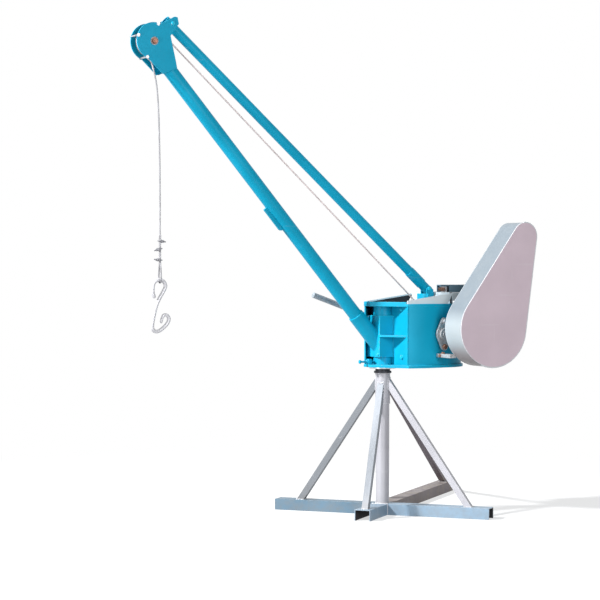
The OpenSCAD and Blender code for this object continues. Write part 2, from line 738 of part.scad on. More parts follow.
cross_channel();
front_back_arms();
column();
column_sleeve();
thrust_collar();
side_braces();
brace_front();
brace_back();
hub_tube();
hub_box();
hub_flange();
bottom_plate();
top_plate();
hub_shelves();
hub_side();
housing_bulkheads();
housing_wall();
hub_slew_bolt();
slewing_handle();
drum_bearings();
rope_drum();
boom_socket();
boom_tube();
boom_clip();
stay_tube();
stay_ears();
stay_bolts();
cheek_plates();
cheek_rods();
sheave_axle();
sheave();
motor_platform();
engine_rails();
tension_bracket();
tension_screw();
guard_face();
guard_rim();
guard_back();
guard_spigot();
guard_arm();
rope_run();
rope_fall();
rope_eye();
rope_clips();
hook();
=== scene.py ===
# %% [markdown]
# # A portable mini crane
# This lesson finishes a small slewing crane that builders carry up to a roof or a balcony.
# A column on a welded cross carries a turning head with a rope drum inside. A tube boom leans out
# from the head, a lighter stay tube holds it up, and one wire rope runs from the drum over the
# boom's sheave to a hook. The plain solids are loaded first. Each step after that either
# finishes one of them or adds what the real crane has on it: welds, bolts, wire and paint.

# %% Load the solids
import json
import math
import bmesh
import bpy
from mathutils import Matrix, Vector
from mathutils.bvhtree import BVHTree

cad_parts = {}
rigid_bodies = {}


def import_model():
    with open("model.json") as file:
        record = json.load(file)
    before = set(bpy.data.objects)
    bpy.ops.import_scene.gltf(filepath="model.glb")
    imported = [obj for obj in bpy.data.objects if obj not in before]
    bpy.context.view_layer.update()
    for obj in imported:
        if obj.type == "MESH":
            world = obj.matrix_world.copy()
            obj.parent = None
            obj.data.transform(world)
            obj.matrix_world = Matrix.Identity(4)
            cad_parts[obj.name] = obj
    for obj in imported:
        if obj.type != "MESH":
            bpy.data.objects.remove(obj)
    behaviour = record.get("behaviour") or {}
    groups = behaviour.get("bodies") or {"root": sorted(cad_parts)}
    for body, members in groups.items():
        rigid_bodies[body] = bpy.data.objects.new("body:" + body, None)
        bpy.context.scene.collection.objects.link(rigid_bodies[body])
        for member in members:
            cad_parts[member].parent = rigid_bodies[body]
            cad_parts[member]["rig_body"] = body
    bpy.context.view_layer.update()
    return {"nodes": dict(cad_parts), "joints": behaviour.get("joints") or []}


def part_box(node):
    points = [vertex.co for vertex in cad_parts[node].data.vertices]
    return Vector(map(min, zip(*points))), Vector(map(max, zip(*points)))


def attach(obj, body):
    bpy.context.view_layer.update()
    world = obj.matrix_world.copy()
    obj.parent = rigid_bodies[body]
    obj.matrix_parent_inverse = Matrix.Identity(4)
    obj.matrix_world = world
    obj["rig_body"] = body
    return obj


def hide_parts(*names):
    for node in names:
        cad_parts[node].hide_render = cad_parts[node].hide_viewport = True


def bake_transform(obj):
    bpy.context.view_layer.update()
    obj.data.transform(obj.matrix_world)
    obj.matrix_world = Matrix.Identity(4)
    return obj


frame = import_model()

# %% [markdown]
# ## Places to measure from
# Everything is in metres, with the slewing axis as Z and the boom towards -X. A few places are
# used again and again: the sheave's centre, the drum's axis, and the pin that the hook hangs on.
# They are read off the solids and the joints, so that they can't drift from them. The boom leans
# over from its socket, and the stand is turned under the head, so both have directions of their own.

# %% Places
mm = 0.001
X, Y, Z = Vector((1, 0, 0)), Vector((0, 1, 0)), Vector((0, 0, 1))


def centre(node):
    low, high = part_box(node)
    return (low + high) / 2


def pin_of(joint):
    return Vector(next(j["pos_m"] for j in frame["joints"] if j["name"] == joint))


def level(turn):
    """The level direction that is turned this far from X."""
    return Vector((math.cos(turn), math.sin(turn), 0))


sheave_at = centre("sheave")
drum_at = pin_of("drum_spin")
hook_at = pin_of("hook_swing")
boom_lean = math.radians(40.9)
boom_way = Vector((-math.sin(boom_lean), 0, math.cos(boom_lean)))
boom_side = Vector((math.cos(boom_lean), 0, math.sin(boom_lean)))
socket_mouth = Vector((-140, 0, 887)) * mm
stand_turn = math.radians(41.4)
arm_x = level(stand_turn)
arm_y = Z.cross(arm_x)
print("sheave", sheave_at, "drum", drum_at, "hook", hook_at)

# %% [markdown]
# ## The view
# The crane is seen from its left side, a little towards the boom, through a long lens from nearly
# nine metres away. A long lens keeps the boom's tubes almost parallel. The camera's own axes are
# built from its heading and its pitch, which is easier to check than three Euler angles.

# %% Camera
heading, pitch, roll = (math.radians(a) for a in (-27.91, -1.11, 0.12))
right = level(heading)
ahead = Z.cross(right) * math.cos(pitch) + Z * math.sin(pitch)
up = right.cross(ahead)
right, up = (math.cos(roll) * right + math.sin(roll) * up,
             math.cos(roll) * up - math.sin(roll) * right)
lens = bpy.data.cameras.new("view")
lens.lens, lens.sensor_width = 120, 36
camera = bpy.data.objects.new("view", lens)
camera.matrix_world = Matrix.Translation((-4.48407, -7.67837, 1.12298)) @ Matrix(
    (right, up, -ahead)).transposed().to_4x4()
bpy.context.scene.collection.objects.link(camera)
bpy.context.scene.camera = camera
print("camera looks along", ahead)

# %% [markdown]
# ## The wire rope
# The rope is 7 mm wire rope: six strands laid round each other. It comes off the sheave, hangs
# down, passes through three clips, goes round the hook's eye and ends beside itself in the clips.
# A bar with a bump pattern would look smooth at its outline, so each strand is a thin round bar
# of its own, on a helix round the rope's middle line. The middle line is a smooth curve through
# a few points, the same ones as in the solid. The strands' cross directions are carried along
# the line from ring to ring, so that the helix doesn't twist where the line turns.

# %% A smooth line through points
def smooth_line(points, steps):
    """A curve through all the points, with this many steps from each to the next."""
    line, last = [], len(points) - 1
    for i in range(last):
        a, b, c, d = (points[k] for k in (max(i - 1, 0), i, i + 1, min(i + 2, last)))
        for k in range(steps):
            t = k / steps
            line.append(0.5 * (2 * b + (c - a) * t + (2 * a - 5 * b + 4 * c - d) * t ** 2
                               + (3 * b - a - 3 * c + d) * t ** 3))
    return line + [points[-1]]


def even_line(line, step):
    """The same line with its points an even step apart."""
    reach = [0]
    for a, b in zip(line, line[1:]):
        reach.append(reach[-1] + (b - a).length)
    count, k, out = max(2, round(reach[-1] / step)), 0, []
    for i in range(count + 1):
        s = reach[-1] * i / count
        while k < len(line) - 2 and reach[k + 1] < s:
            k += 1
        out.append(line[k].lerp(line[k + 1], (s - reach[k]) / max(reach[k + 1] - reach[k], 1e-9)))
    return out


def length_of(line):
    return sum((b - a).length for a, b in zip(line, line[1:]))


# %% Round bars of any line
def ways_along(line):
    """The two cross directions at each point, carried along without twist."""
    ways, across = [], None
    for i in range(len(line)):
        onward = (line[min(i + 1, len(line) - 1)] - line[max(i - 1, 0)]).normalized()
        across = onward.orthogonal() if across is None else across - across.dot(onward) * onward
        across = across.normalized()
        ways.append((across, onward.cross(across)))
    return ways


def bars(name, lines, radii, sides=8):
    """One mesh of round bars along several lines; radii is one number or one for each point."""
    verts, faces = [], []
    for line in lines:
        first = len(verts)
        for i, (p, (a, b)) in enumerate(zip(line, ways_along(line))):
            r = radii[i] if isinstance(radii, list) else radii
            for k in range(sides):
                turn = 2 * math.pi * k / sides
                verts.append(p + r * (math.cos(turn) * a + math.sin(turn) * b))
        for i in range(len(line) - 1):
            for k in range(sides):
                j, low, high = (k + 1) % sides, first + i * sides, first + (i + 1) * sides
                faces.append((low + k, low + j, high + j, high + k))
        faces.append([first + sides - 1 - k for k in range(sides)])
        faces.append([len(verts) - sides + k for k in range(sides)])
    mesh = bpy.data.meshes.new(name)
    mesh.from_pydata(verts, [], faces)
    mesh.update()
    piece = bpy.data.objects.new(name, mesh)
    bpy.context.scene.collection.objects.link(piece)
    for face in mesh.polygons:
        face.use_smooth = len(face.vertices) == 4
    return piece


def laid_rope(name, line, rope_d):
    """Six strands on a helix round the line, and a core that closes the gaps between them."""
    strands, lay, rings_a_lay = 6, 46 * mm, 15
    line = even_line(line, lay / rings_a_lay)
    ways, strand_r, lines = ways_along(line), rope_d / 6, []
    for s in range(strands):
        strand = []
        for i, (p, (a, b)) in enumerate(zip(line, ways)):
            turn = 2 * math.pi * (i / rings_a_lay + s / strands)
            strand.append(p + 2 * strand_r * (math.cos(turn) * a + math.sin(turn) * b))
        lines.append(strand)
    return bars(name, lines + [line], strand_r, 6)


# %% Rope that hangs, with its loop round the hook
rope_d = 7 * mm
head_xz = [(12, -116), (20, -148), (27, -186), (32, -240), (36, -320), (39, -420),
           (41, -540), (42, -660), (42, -795.6)]
loop_yz = [(0.1, 192), (3, 178), (4, 164), (4, 78), (7, 54), (11.6, 24), (12, 2), (8.5, -8.5),
           (0, -12), (-8.5, -8.5), (-12, 2), (-11.6, 24), (-7, 54), (-4, 78), (-4, 164),
           (-6, 188)]
fall_points = [sheave_at + Vector((x, 0, z)) * mm for x, z in head_xz]
loop_points = [hook_at + Vector((0, y, z)) * mm for y, z in loop_yz]
rope_line = smooth_line(fall_points + loop_points, 8)
hanging_rope = laid_rope("hanging_rope", rope_line, rope_d)
print("rope", round(length_of(rope_line), 3), "m,", len(hanging_rope.data.polygons), "faces")

# %% [markdown]
# ## The rope from the drum to the sheave
# This stretch is pulled tight between the drum and the sheave and turns over the sheave's groove.
# It is the same wire, on a straight line, an arc and the short way off the sheave.

# %% Taut rope
wrap_r, groove_r = 83.8 * mm, 62 * mm
winch_way = drum_at - sheave_at
slope = math.asin((wrap_r - groove_r) / winch_way.length)
rope_angle = math.atan2(winch_way.z, winch_way.x) + math.pi / 2 + slope


def round_point(centre_at, r, angle):
    """A point on a circle that stands in the boom's plane."""
    return centre_at + r * Vector((math.cos(angle), 0, math.sin(angle)))


run_end, steps = math.radians(228), 36
run_line = [round_point(drum_at, wrap_r, rope_angle)]
run_line += [round_point(sheave_at, groove_r, rope_angle + (run_end - rope_angle) * k / steps)
             for k in range(steps + 1)]
run_line += smooth_line([sheave_at + Vector((x, 0, z)) * mm
                         for x, z in [(-19, -66), (-5, -76), (4, -89), (12, -116)]], 6)
taut_rope = laid_rope("taut_rope", run_line, rope_d)
print("taut rope", round(length_of(run_line), 3), "m")

# %% [markdown]
# ## Light and floor
# The crane stands in a plain white studio. One fairly small lamp shines from the boom's side, so
# the plates throw clear shadows on the head. A low broad lamp on the same side reaches into the
# open head, another near the view lights the long sides, and a soft one hangs above. Paper-white
# surroundings come from the background itself: where the view, a reflection or a clear surface
# meets it, it is plain white, and it lights the crane with less. The floor does the same, and
# keeps a soft shadow only near the stand.

# %% One class for all shader maths
class Flow:
    """One output of a node. Sums, differences and products of it add their own nodes."""

    def __init__(self, tree, socket=None):
        self.tree, self.socket = tree, socket

    def put(self, kind, settings=None, values=None, out=0):
        """Adds any node: its settings first, then the values or links of its sockets."""
        node = self.tree.nodes.new("ShaderNode" + kind)
        for name, value in (settings or {}).items():
            if name == "stops":
                stops = node.color_ramp.elements
                for place, _ in value[1:-1]:
                    stops.new(place)
                for stop, (place, grey) in zip(stops, value):
                    stop.position, stop.color = place, (grey, grey, grey, 1)
            else:
                setattr(node, name, value)
        for name, value in (values or {}).items():
            if isinstance(value, Flow):
                self.tree.links.new(value.socket, node.inputs[name])
            else:
                node.inputs[name].default_value = value
        return Flow(self.tree, node.outputs[out])

    def sum_of(self, operation, *numbers):
        return self.put("Math", {"operation": operation}, dict(enumerate(numbers)))

    def __add__(self, other):
        return self.sum_of("ADD", self, other)

    def __radd__(self, other):
        return self.sum_of("ADD", other, self)

    def __sub__(self, other):
        return self.sum_of("SUBTRACT", self, other)

    def __rsub__(self, other):
        return self.sum_of("SUBTRACT", other, self)

    def __mul__(self, other):
        return self.sum_of("MULTIPLY", self, other)

    def __rmul__(self, other):
        return self.sum_of("MULTIPLY", other, self)

    def most(self, other):
        return self.sum_of("MAXIMUM", self, other)

    def rise(self, low, high):
        """0 below low, 1 above high, and a soft step between them."""
        return self.put("MapRange", {"interpolation_type": "SMOOTHSTEP"},
                        {"Value": self, "From Min": low, "From Max": high})

    def mix(self, share, a, b):
        """The colour a, and b where share is 1."""
        return self.put("Mix", {"data_type": "RGBA"}, {0: share, 6: a, 7: b}, out=2)

    def into(self, socket):
        self.tree.links.new(self.socket, socket)


def rgb(red, green, blue):
    """A colour on the 0 to 255 scale of a paint card, as the light it sends back."""
    return tuple((v / 255 / 12.92) if v < 10.32 else ((v / 255 + 0.055) / 1.055) ** 2.4
                 for v in (red, green, blue)) + (1,)


# %% The white surroundings
world = bpy.data.worlds.new("studio")
bpy.context.scene.world = world
world.use_nodes = True
world.node_tree.nodes.clear()
studio = Flow(world.node_tree)


def seen(flow):
    """1 where the view, a reflection or a clear surface meets the background."""
    ray = flow.put("LightPath").socket.node
    camera_ray, mirrored, through = (Flow(flow.tree, ray.outputs["Is %s Ray" % kind])
                                     for kind in ("Camera", "Glossy", "Transmission"))
    return camera_ray.most(mirrored).most(through)


sky = studio.put("MixShader", {}, {
    0: seen(studio),
    1: studio.put("Background", {}, {"Color": (0.96, 0.98, 1, 1), "Strength": 0.22}),
    2: studio.put("Background", {}, {"Color": (1, 1, 1, 1), "Strength": 1.0})})
sky.into(world.node_tree.nodes.new("ShaderNodeOutputWorld").inputs["Surface"])


# %% Floor
bpy.ops.object.select_all(action="DESELECT")
bpy.ops.mesh.primitive_circle_add(vertices=96, radius=14, fill_type="NGON", location=(0, 0, 0))
floor = bpy.context.object
floor.name = "floor"
floor_paint = bpy.data.materials.new("floor_white")
floor_paint.use_nodes = True
floor_paint.node_tree.nodes.clear()
ground = Flow(floor_paint.node_tree)
away = ground.put("VectorMath", {"operation": "LENGTH"}, {0: ground.put("TexCoord", out=3)}, out=1)
shown = ground.put("MixShader", {}, {
    0: 0.62 + 0.38 * away.rise(1.2, 3.2),
    1: ground.put("BsdfDiffuse", {}, {"Color": (0.86, 0.87, 0.88, 1)}),
    2: ground.put("Emission", {}, {"Color": (1, 1, 1, 1), "Strength": 1.0})})
laid_floor = ground.put("MixShader", {}, {
    0: seen(ground), 1: ground.put("BsdfDiffuse", {}, {"Color": (0.30, 0.30, 0.31, 1)}), 2: shown})
laid_floor.into(floor_paint.node_tree.nodes.new("ShaderNodeOutputMaterial").inputs["Surface"])
floor.data.materials.append(floor_paint)


# %% Lamps
def lamp(name, place, towards, width, power):
    light = bpy.data.lights.new(name, "AREA")
    light.shape, light.size, light.energy = "DISK", width, power
    holder = bpy.data.objects.new(name, light)
    holder.location = place
    holder.rotation_euler = (Vector(towards) - Vector(place)).to_track_quat("-Z", "Y").to_euler()
    bpy.context.scene.collection.objects.link(holder)


middle_of_crane = (-0.3, 0, 1.1)
lamp("lamp_boom_side", (-8.9, 0.9, 7.0), middle_of_crane, 0.8, 2450)
lamp("lamp_low", (-6.3, -2.2, 0.9), middle_of_crane, 2.6, 110)
lamp("lamp_view_side", (-0.9, -6.8, 2.4), middle_of_crane, 3.0, 270)
lamp("lamp_above", (0.4, 0.6, 5.5), middle_of_crane, 3.0, 50)
bpy.context.scene.view_settings.view_transform = "Standard"
print("lamps and floor are in place")

# %% [markdown]
# ## Finishes
# The crane's own finishes are a semi-gloss turquoise paint over the welded steel, a silver paint
# with a cool cast on the stand, a pale paint on the guard, and bare or zinc-plated steel on bolts
# and rope. A flat colour would look like plastic. Real spray paint varies slightly in shade, has a
# fine pebbled skin, gathers dust on upward faces and scuffs in a few places, and a stand that is
# dragged over concrete is dirty near the ground. Each finish is built from the same few patterns,
# all laid on the object's own coordinates in metres, so that a speck is a real size.

# %% Patterns
def begin(name):
    material = bpy.data.materials.new(name)
    material.use_nodes = True
    shader = material.node_tree.nodes["Principled BSDF"]
    flow = Flow(material.node_tree)
    return material, shader, flow, flow.put("TexCoord", out=3)


def grain(place, size, detail=2.0, rough=0.5, stretch=None, seed=0.0):
    """Cloudy noise whose blotches are about that many metres across."""
    if stretch:
        place = place.put("Mapping", {}, {"Vector": place, "Scale": stretch})
    if seed:
        place = place.put("VectorMath", {"operation": "ADD"}, {0: place, 1: (seed, seed, seed)})
    return place.put("TexNoise", {}, {"Vector": place, "Scale": 1 / size, "Detail": detail,
                                      "Roughness": rough})


def facing_z(flow):
    """How far a face looks up: 1 for level faces, 0 for upright ones, -1 for undersides."""
    return flow.put("SeparateXYZ", {}, {"Vector": flow.put("NewGeometry", out=1)}, out=2)


def upward(flow):
    """1 on faces that look up, where dust settles."""
    return facing_z(flow).rise(0.35, 0.95)


def height(place):
    return place.put("SeparateXYZ", {}, {"Vector": place}, out=2)


def bumped(surface, depth, strength, then=None):
    """The pattern as bumps this many metres high, on top of other bumps if there are any."""
    values = {"Height": surface, "Distance": depth, "Strength": strength}
    if then:
        values["Normal"] = then
    return surface.put("Bump", {}, values)


def scratches(place):
    """Thin marks in two directions."""
    one = grain(place, 0.02, 1, 0.4, (0.06, 1, 1.4), 3).rise(0.69, 0.72)
    two = grain(place, 0.017, 1, 0.4, (1.3, 1, 0.05), 7).rise(0.70, 0.73)
    return one.most(two)


def shade(colour, times, plus=0.0):
    """The colour made lighter or darker."""
    return tuple(min(1, v * times + plus) for v in colour[:3]) + (1,)


# %% Sprayed paint
primer, dust_tone, dirt_tone = (0.30, 0.31, 0.33, 1), (0.56, 0.54, 0.50, 1), (0.20, 0.17, 0.14, 1)


def sprayed(name, colour, gloss=0.34, vary=0.10, dusty=0.08, scuffed=0.5, flake=0.0, grimy=0.0, worn=0.0,
            shine=0.22, above=None, below=None):
    """Paint with dust, scuffs and chips; above and below are other colours for level faces, those that look
    up and those that look down, a painted shade on them.
    """
    material, shader, flow, place = begin(name)
    cloud = grain(place, 0.22, 3)
    speck = grain(place, 0.012, 2, seed=5)
    dark, light = shade(colour, 1 - vary), shade(colour, 1 + vary, 0.004)
    tone = flow.mix(cloud.rise(0.3, 0.7) * 0.8 + speck * 0.2, dark, light)
    # Faces that look up take the colour above and undersides the colour below, a painted shade.
    if above:
        tone = flow.mix(facing_z(flow).rise(0.05, 0.55), tone, above)
    if below:
        tone = flow.mix((0 - facing_z(flow)).rise(0.3, 0.8), tone, below)
    dust = upward(flow) * grain(place, 0.05, 4, 0.65, seed=2).rise(0.38, 0.72) * dusty
    tone = flow.mix(dust, tone, dust_tone)
    marks = scratches(place) * grain(place, 0.3, 2, seed=9).rise(0.5, 0.66) * scuffed
    tone = flow.mix(marks * 0.5, tone, shade(colour, 0.45, 0.35))
    chips = grain(place, 0.011, 3, 0.7, seed=12).rise(0.745 - 0.24 * worn, 0.765 - 0.24 * worn)
    if not worn:
        chips = chips * grain(place, 0.09, 2, seed=4).rise(0.5, 0.6)
    tone = flow.mix(chips, tone, primer)
    if grimy:
        low_down = 1 - height(place).rise(0.0, 0.16)
        dirt = low_down * grain(place, 0.045, 5, 0.7, seed=6).rise(0.3, 0.75) * grimy
        tone = flow.mix(dirt, tone, dirt_tone)
    tone.into(shader.inputs["Base Color"])
    rough = gloss + 0.10 * grain(place, 0.06, 3, seed=1) + 0.35 * dust + 0.2 * marks + 0.2 * chips
    rough.into(shader.inputs["Roughness"])
    if flake:
        (flake - 0.25 * dust + 0.1 * (speck - 0.5)).into(shader.inputs["Metallic"])
    shader.inputs["Specular IOR Level"].default_value = shine
    skin = bumped(grain(place, 0.0026, 2, 0.4), 0.00016, 0.5)
    wave = bumped(grain(place, 0.03, 2, 0.4, seed=8), 0.0011, 0.35, skin)
    bumped(1 - chips, 0.0003, 0.7, wave).into(shader.inputs["Normal"])
    return material


def dragged(name, colour, **looks):
    """The stand's paint: a little metal flake, scrapes, and dirt near the ground."""
    usual = {"gloss": 0.40, "vary": 0.06, "flake": 0.2, "grimy": 0.5, "scuffed": 0.7, "shine": 0.4}
    return sprayed(name, colour, **{**usual, **looks})


paint = sprayed("turquoise_paint", rgb(0, 148, 181), shine=0.15, scuffed=0.15)
# The edge paints are lighter than their plates' paint: partly worn paint, partly a painted highlight on the
# edges.
paint_edge_highlit = sprayed("turquoise_paint_edge", rgb(20, 172, 200), gloss=0.26, worn=0.5, scuffed=0.9, shine=0.18)
# A lighter turquoise for the head's side plate inside the open head, a painted fill light.
head_side_painted_light = sprayed("turquoise_painted_fill_light", rgb(20, 196, 226), gloss=0.4, shine=0.15)
stand_paint = dragged("stand_paint", rgb(128, 152, 172), vary=0.07, flake=0.25, grimy=0.35, scuffed=0.8)
column_paint = dragged("column_paint", rgb(166, 166, 172))
# Lighter for the column's edges: partly wear, partly a painted highlight.
column_edge_highlit = dragged("column_paint_edge", rgb(190, 191, 196), gloss=0.32, flake=0.3, worn=0.6, scuffed=0.9)
# A darker copy of the stand's paint for the cross's left arm, a painted shade.
left_arm_painted_shade = dragged("stand_shade_painted_left_arm", rgb(92, 118, 136), gloss=0.44, vary=0.09, grimy=0.4, scuffed=0.8,
                    shine=0.3)
# A darker copy of the column's paint for the front brace, a painted shade set against the strong lamp on it.
front_brace_painted_shade = dragged("stand_shade_painted_front_brace", rgb(127, 132, 139))
# A still darker copy for the left side brace, a painted shade.
left_brace_painted_shade = dragged("stand_shade_painted_left_brace", rgb(112, 116, 121), gloss=0.44, vary=0.08, flake=0.15, grimy=0.6,
                     scuffed=0.8, shine=0.3)
# Darker, warmer paint for the back arm and brace: real dirt on it, and the darker tone is a painted shade.
back_dirt_and_painted_shade = dragged("stand_dirt_and_shade_back", rgb(108, 100, 106), gloss=0.48, vary=0.14, flake=0.15, grimy=0.9,
                     dusty=0.5, scuffed=0.8, shine=0.3)
# Lighter for the stand's edges: partly wear, partly a painted highlight.
stand_edge_highlit = dragged("stand_paint_edge", rgb(152, 172, 188), gloss=0.32, vary=0.07, flake=0.35, grimy=0.7,
                     worn=0.6, scuffed=0.9)
print("paints", [m.name for m in bpy.data.materials])


# %% [markdown]
# ## Bare metals
# Plated bolts, the rope, the cast bearings and a few rusty fixings aren't painted. Zinc plating
# has a soft crystalline mottle, cast metal is pitted, turned steel has fine rings, and rust is
# a rough brown crust that starts in blotches.

# %% Metals
def metal(name, colour, gloss, vary=0.15, mottle=0.01, pitted=0.0, rust=0.0, oily=0.0, dusty=0.2,
          metallic=1.0):
    """Bare metal; mottle is the size of its blotches, and the other words say how much there is."""
    material, shader, flow, place = begin(name)
    blotch = grain(place, mottle, 3, 0.6)
    tone = flow.mix(blotch.rise(0.3, 0.7), shade(colour, 1 - 1.6 * vary), shade(colour, 1 + vary))
    grime = grain(place, 0.02, 4, 0.7, seed=3).rise(0.52, 0.75) * oily
    tone = flow.mix(grime, tone, (0.035, 0.03, 0.026, 1))
    dust = upward(flow) * grain(place, 0.03, 4, 0.65, seed=2).rise(0.4, 0.75) * dusty
    tone = flow.mix(dust, tone, (0.50, 0.47, 0.42, 1))
    crust = grain(place, 0.016, 5, 0.68, seed=11).rise(0.66 - 0.4 * rust, 0.74 - 0.34 * rust)
    if rust:
        brown = flow.mix(grain(place, 0.006, 3, 0.7, seed=13),
                         (0.10, 0.050, 0.034, 1), (0.22, 0.115, 0.078, 1))
        tone = flow.mix(crust, tone, brown)
    tone.into(shader.inputs["Base Color"])
    rough = gloss + 0.18 * blotch + 0.3 * dust + 0.15 * grime
    shine = metallic - 0.6 * dust - 0.5 * grime
    if rust:
        rough = rough + 0.4 * crust
        shine = shine * (1 - crust)
    rough.into(shader.inputs["Roughness"])
    shine.into(shader.inputs["Metallic"])
    skin = bumped(grain(place, 0.0018, 3, 0.6), 0.0001 + 0.0004 * pitted, 0.4 + 0.5 * pitted)
    if rust:
        skin = bumped(crust * grain(place, 0.003, 3, seed=6), 0.0006, 0.8, skin)
    skin.into(shader.inputs["Normal"])
    return material


zinc = metal("zinc_plating", rgb(206, 208, 212), 0.26, oily=0.15)
cast_metal = metal("cast_metal", rgb(186, 188, 190), 0.44, vary=0.12, pitted=0.8, oily=0.35, metallic=0.75)
steel = metal("machined_steel", rgb(170, 172, 176), 0.24, vary=0.12, oily=0.3)
dark_steel = metal("dark_steel", rgb(58, 60, 66), 0.40, vary=0.25, rust=0.12, metallic=0.7)
rusty_steel = metal("rusty_steel", rgb(132, 108, 96), 0.42, vary=0.25, rust=0.75)
copper_bolt = metal("coppery_bolt", rgb(136, 100, 86), 0.34, vary=0.2, rust=0.3)
wire = metal("wire_rope", rgb(158, 158, 162), 0.42, vary=0.12, mottle=0.05, oily=0.2, dusty=0.1,
             metallic=0.35)
# A lighter copy of the rope's finish for the taut rope and the turns on the drum, a painted light on them.
wire_painted_light = metal("wire_rope_painted_light", rgb(216, 204, 203), 0.42, vary=0.08, mottle=0.05, oily=0.1,
                   metallic=0.2)
hook_zinc = metal("hook_plating", rgb(190, 190, 194), 0.30, vary=0.06, oily=0.08, metallic=0.3)
clip_zinc = metal("clip_plating", rgb(132, 133, 138), 0.34, vary=0.18, oily=0.4, metallic=0.5)
pipe_steel = metal("bare_pipe", rgb(150, 160, 168), 0.40, vary=0.14, mottle=0.03, rust=0.12, oily=0.15,
                   metallic=0.3)
# Dark grey steel for the insides of the channels, and a painted shade on the inner sides of the platform's
# folds.
dark_insides = metal("dark_insides", rgb(28, 28, 32), 0.6, vary=0.3, rust=0.15, metallic=0.3)

# %% Paints of the guard and the platform
# The guard's faces that look up take a darker bluish grey and its undersides a darker warm grey, both a
# painted shade.
pale_paint = sprayed("pale_paint", rgb(160, 168, 172), gloss=0.32, vary=0.05, dusty=0.1, flake=0.1,
                     above=rgb(116, 126, 134), below=rgb(128, 122, 124))
# Lighter for the guard's and the platform's edges: partly wear, partly a painted highlight.
pale_edge_highlit = sprayed("pale_paint_edge", rgb(192, 197, 200), gloss=0.28, vary=0.04, worn=0.3)
face_paint = sprayed("guard_face_paint", rgb(192, 176, 185), gloss=0.46, vary=0.05, dusty=0.15, scuffed=0.6,
                     shine=0.2)
# The platform's faces that look up take a darker grey, a painted shade.
platform_paint = sprayed("platform_paint", rgb(206, 213, 216), gloss=0.36, vary=0.06, dusty=0.3, scuffed=0.8,
                         flake=0.15, above=rgb(150, 156, 160))
rail_paint = sprayed("rail_paint", rgb(98, 126, 143), gloss=0.45, vary=0.10, dusty=0.4, scuffed=0.7)
print("finishes", len(bpy.data.materials))

# %% [markdown]
# ## Edges that catch the light
# Every sheared or sawn plate has a slightly rounded edge where paint is thinner and knocks show
# first. A sharp corner never catches the light, so each plate is copied with its loose triangles
# merged, flat faces are joined again, and a narrow bevel is put on its corners. The bevel's
# faces take a lighter, more worn version of the same paint: the wear is real, and the lighter
# colour is partly a painted highlight along the edges. The copy then stands for the solid.

# %% Working on one object at a time
def only(*pieces):
    """Selects these and nothing else, with the first one active."""
    if bpy.context.mode != "OBJECT":
        bpy.ops.object.mode_set(mode="OBJECT")
    bpy.ops.object.select_all(action="DESELECT")
    for piece in pieces:
        piece.select_set(True)
    bpy.context.view_layer.objects.active = pieces[0]
    return pieces[0]


def apply_all(piece):
    only(piece)
    for modifier in list(piece.modifiers):
        bpy.ops.object.modifier_apply(modifier=modifier.name)
    return piece


def copied(model, matrix):
    """A copy of the model with its own mesh, moved by the matrix."""
    piece = bpy.data.objects.new(model.name, model.data.copy())
    piece.data.transform(matrix)
    bpy.context.scene.collection.objects.link(piece)
    return piece


def copy_of(node, name):
    """The node's mesh with its triangles merged and its flat faces joined."""
    piece = copied(frame["nodes"][node], Matrix())
    piece.name = name
    piece.data.materials.clear()
    only(piece)
    if piece.data.has_custom_normals:
        bpy.ops.mesh.customdata_custom_splitnormals_clear()
    bpy.ops.object.mode_set(mode="EDIT")
    bpy.ops.mesh.select_all(action="SELECT")
    bpy.ops.mesh.remove_doubles(threshold=0.00002)
    bpy.ops.mesh.dissolve_limited(angle_limit=math.radians(0.6))
    bpy.ops.object.mode_set(mode="OBJECT")
    return piece


def bevel(piece, width, slot=-1, angle=32):
    """Rounds the edges sharper than the angle; the new faces take the finish in the slot."""
    modifier = piece.modifiers.new("edges", "BEVEL")
    modifier.width, modifier.segments, modifier.limit_method = width, 2, "ANGLE"
    modifier.angle_limit, modifier.material = math.radians(angle), slot
    modifier.use_clamp_overlap, modifier.harden_normals = True, False
    return apply_all(piece)


def smooth(piece, angle=32):
    """Smooth shading up to the angle; large flat faces keep their own direction."""
    only(piece)
    bpy.ops.object.shade_smooth_by_angle(angle=math.radians(angle))
    weigh = piece.modifiers.new("flat", "WEIGHTED_NORMAL")
    weigh.keep_sharp, weigh.weight = True, 80
    return apply_all(piece)


def softened(node, width, face, edge, cuts=()):
    """A copy of a node with narrow bevels, painted, in its place; cuts part its flat faces."""
    piece = copy_of(node, node + "_made")
    if cuts:
        bpy.ops.object.mode_set(mode="EDIT")
        for at, way in cuts:
            bpy.ops.mesh.select_all(action="SELECT")
            bpy.ops.mesh.bisect(plane_co=at, plane_no=way)
        bpy.ops.object.mode_set(mode="OBJECT")
    piece.data.materials.append(face)
    piece.data.materials.append(edge)
    bevel(piece, width, slot=1)
    smooth(piece)
    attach(piece, frame["nodes"][node]["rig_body"])
    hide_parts(node)
    print(node, "has", len(piece.data.polygons), "faces")
    return piece


def dress(piece, finish, picked):
    """Gives another finish to the faces that are picked by their middle and their direction."""
    piece.data.materials.append(finish)
    count = 0
    for face in piece.data.polygons:
        if picked(face.center / mm, face.normal):
            face.material_index, count = len(piece.data.materials) - 1, count + 1
    print(piece.name, count, "faces take", finish.name)


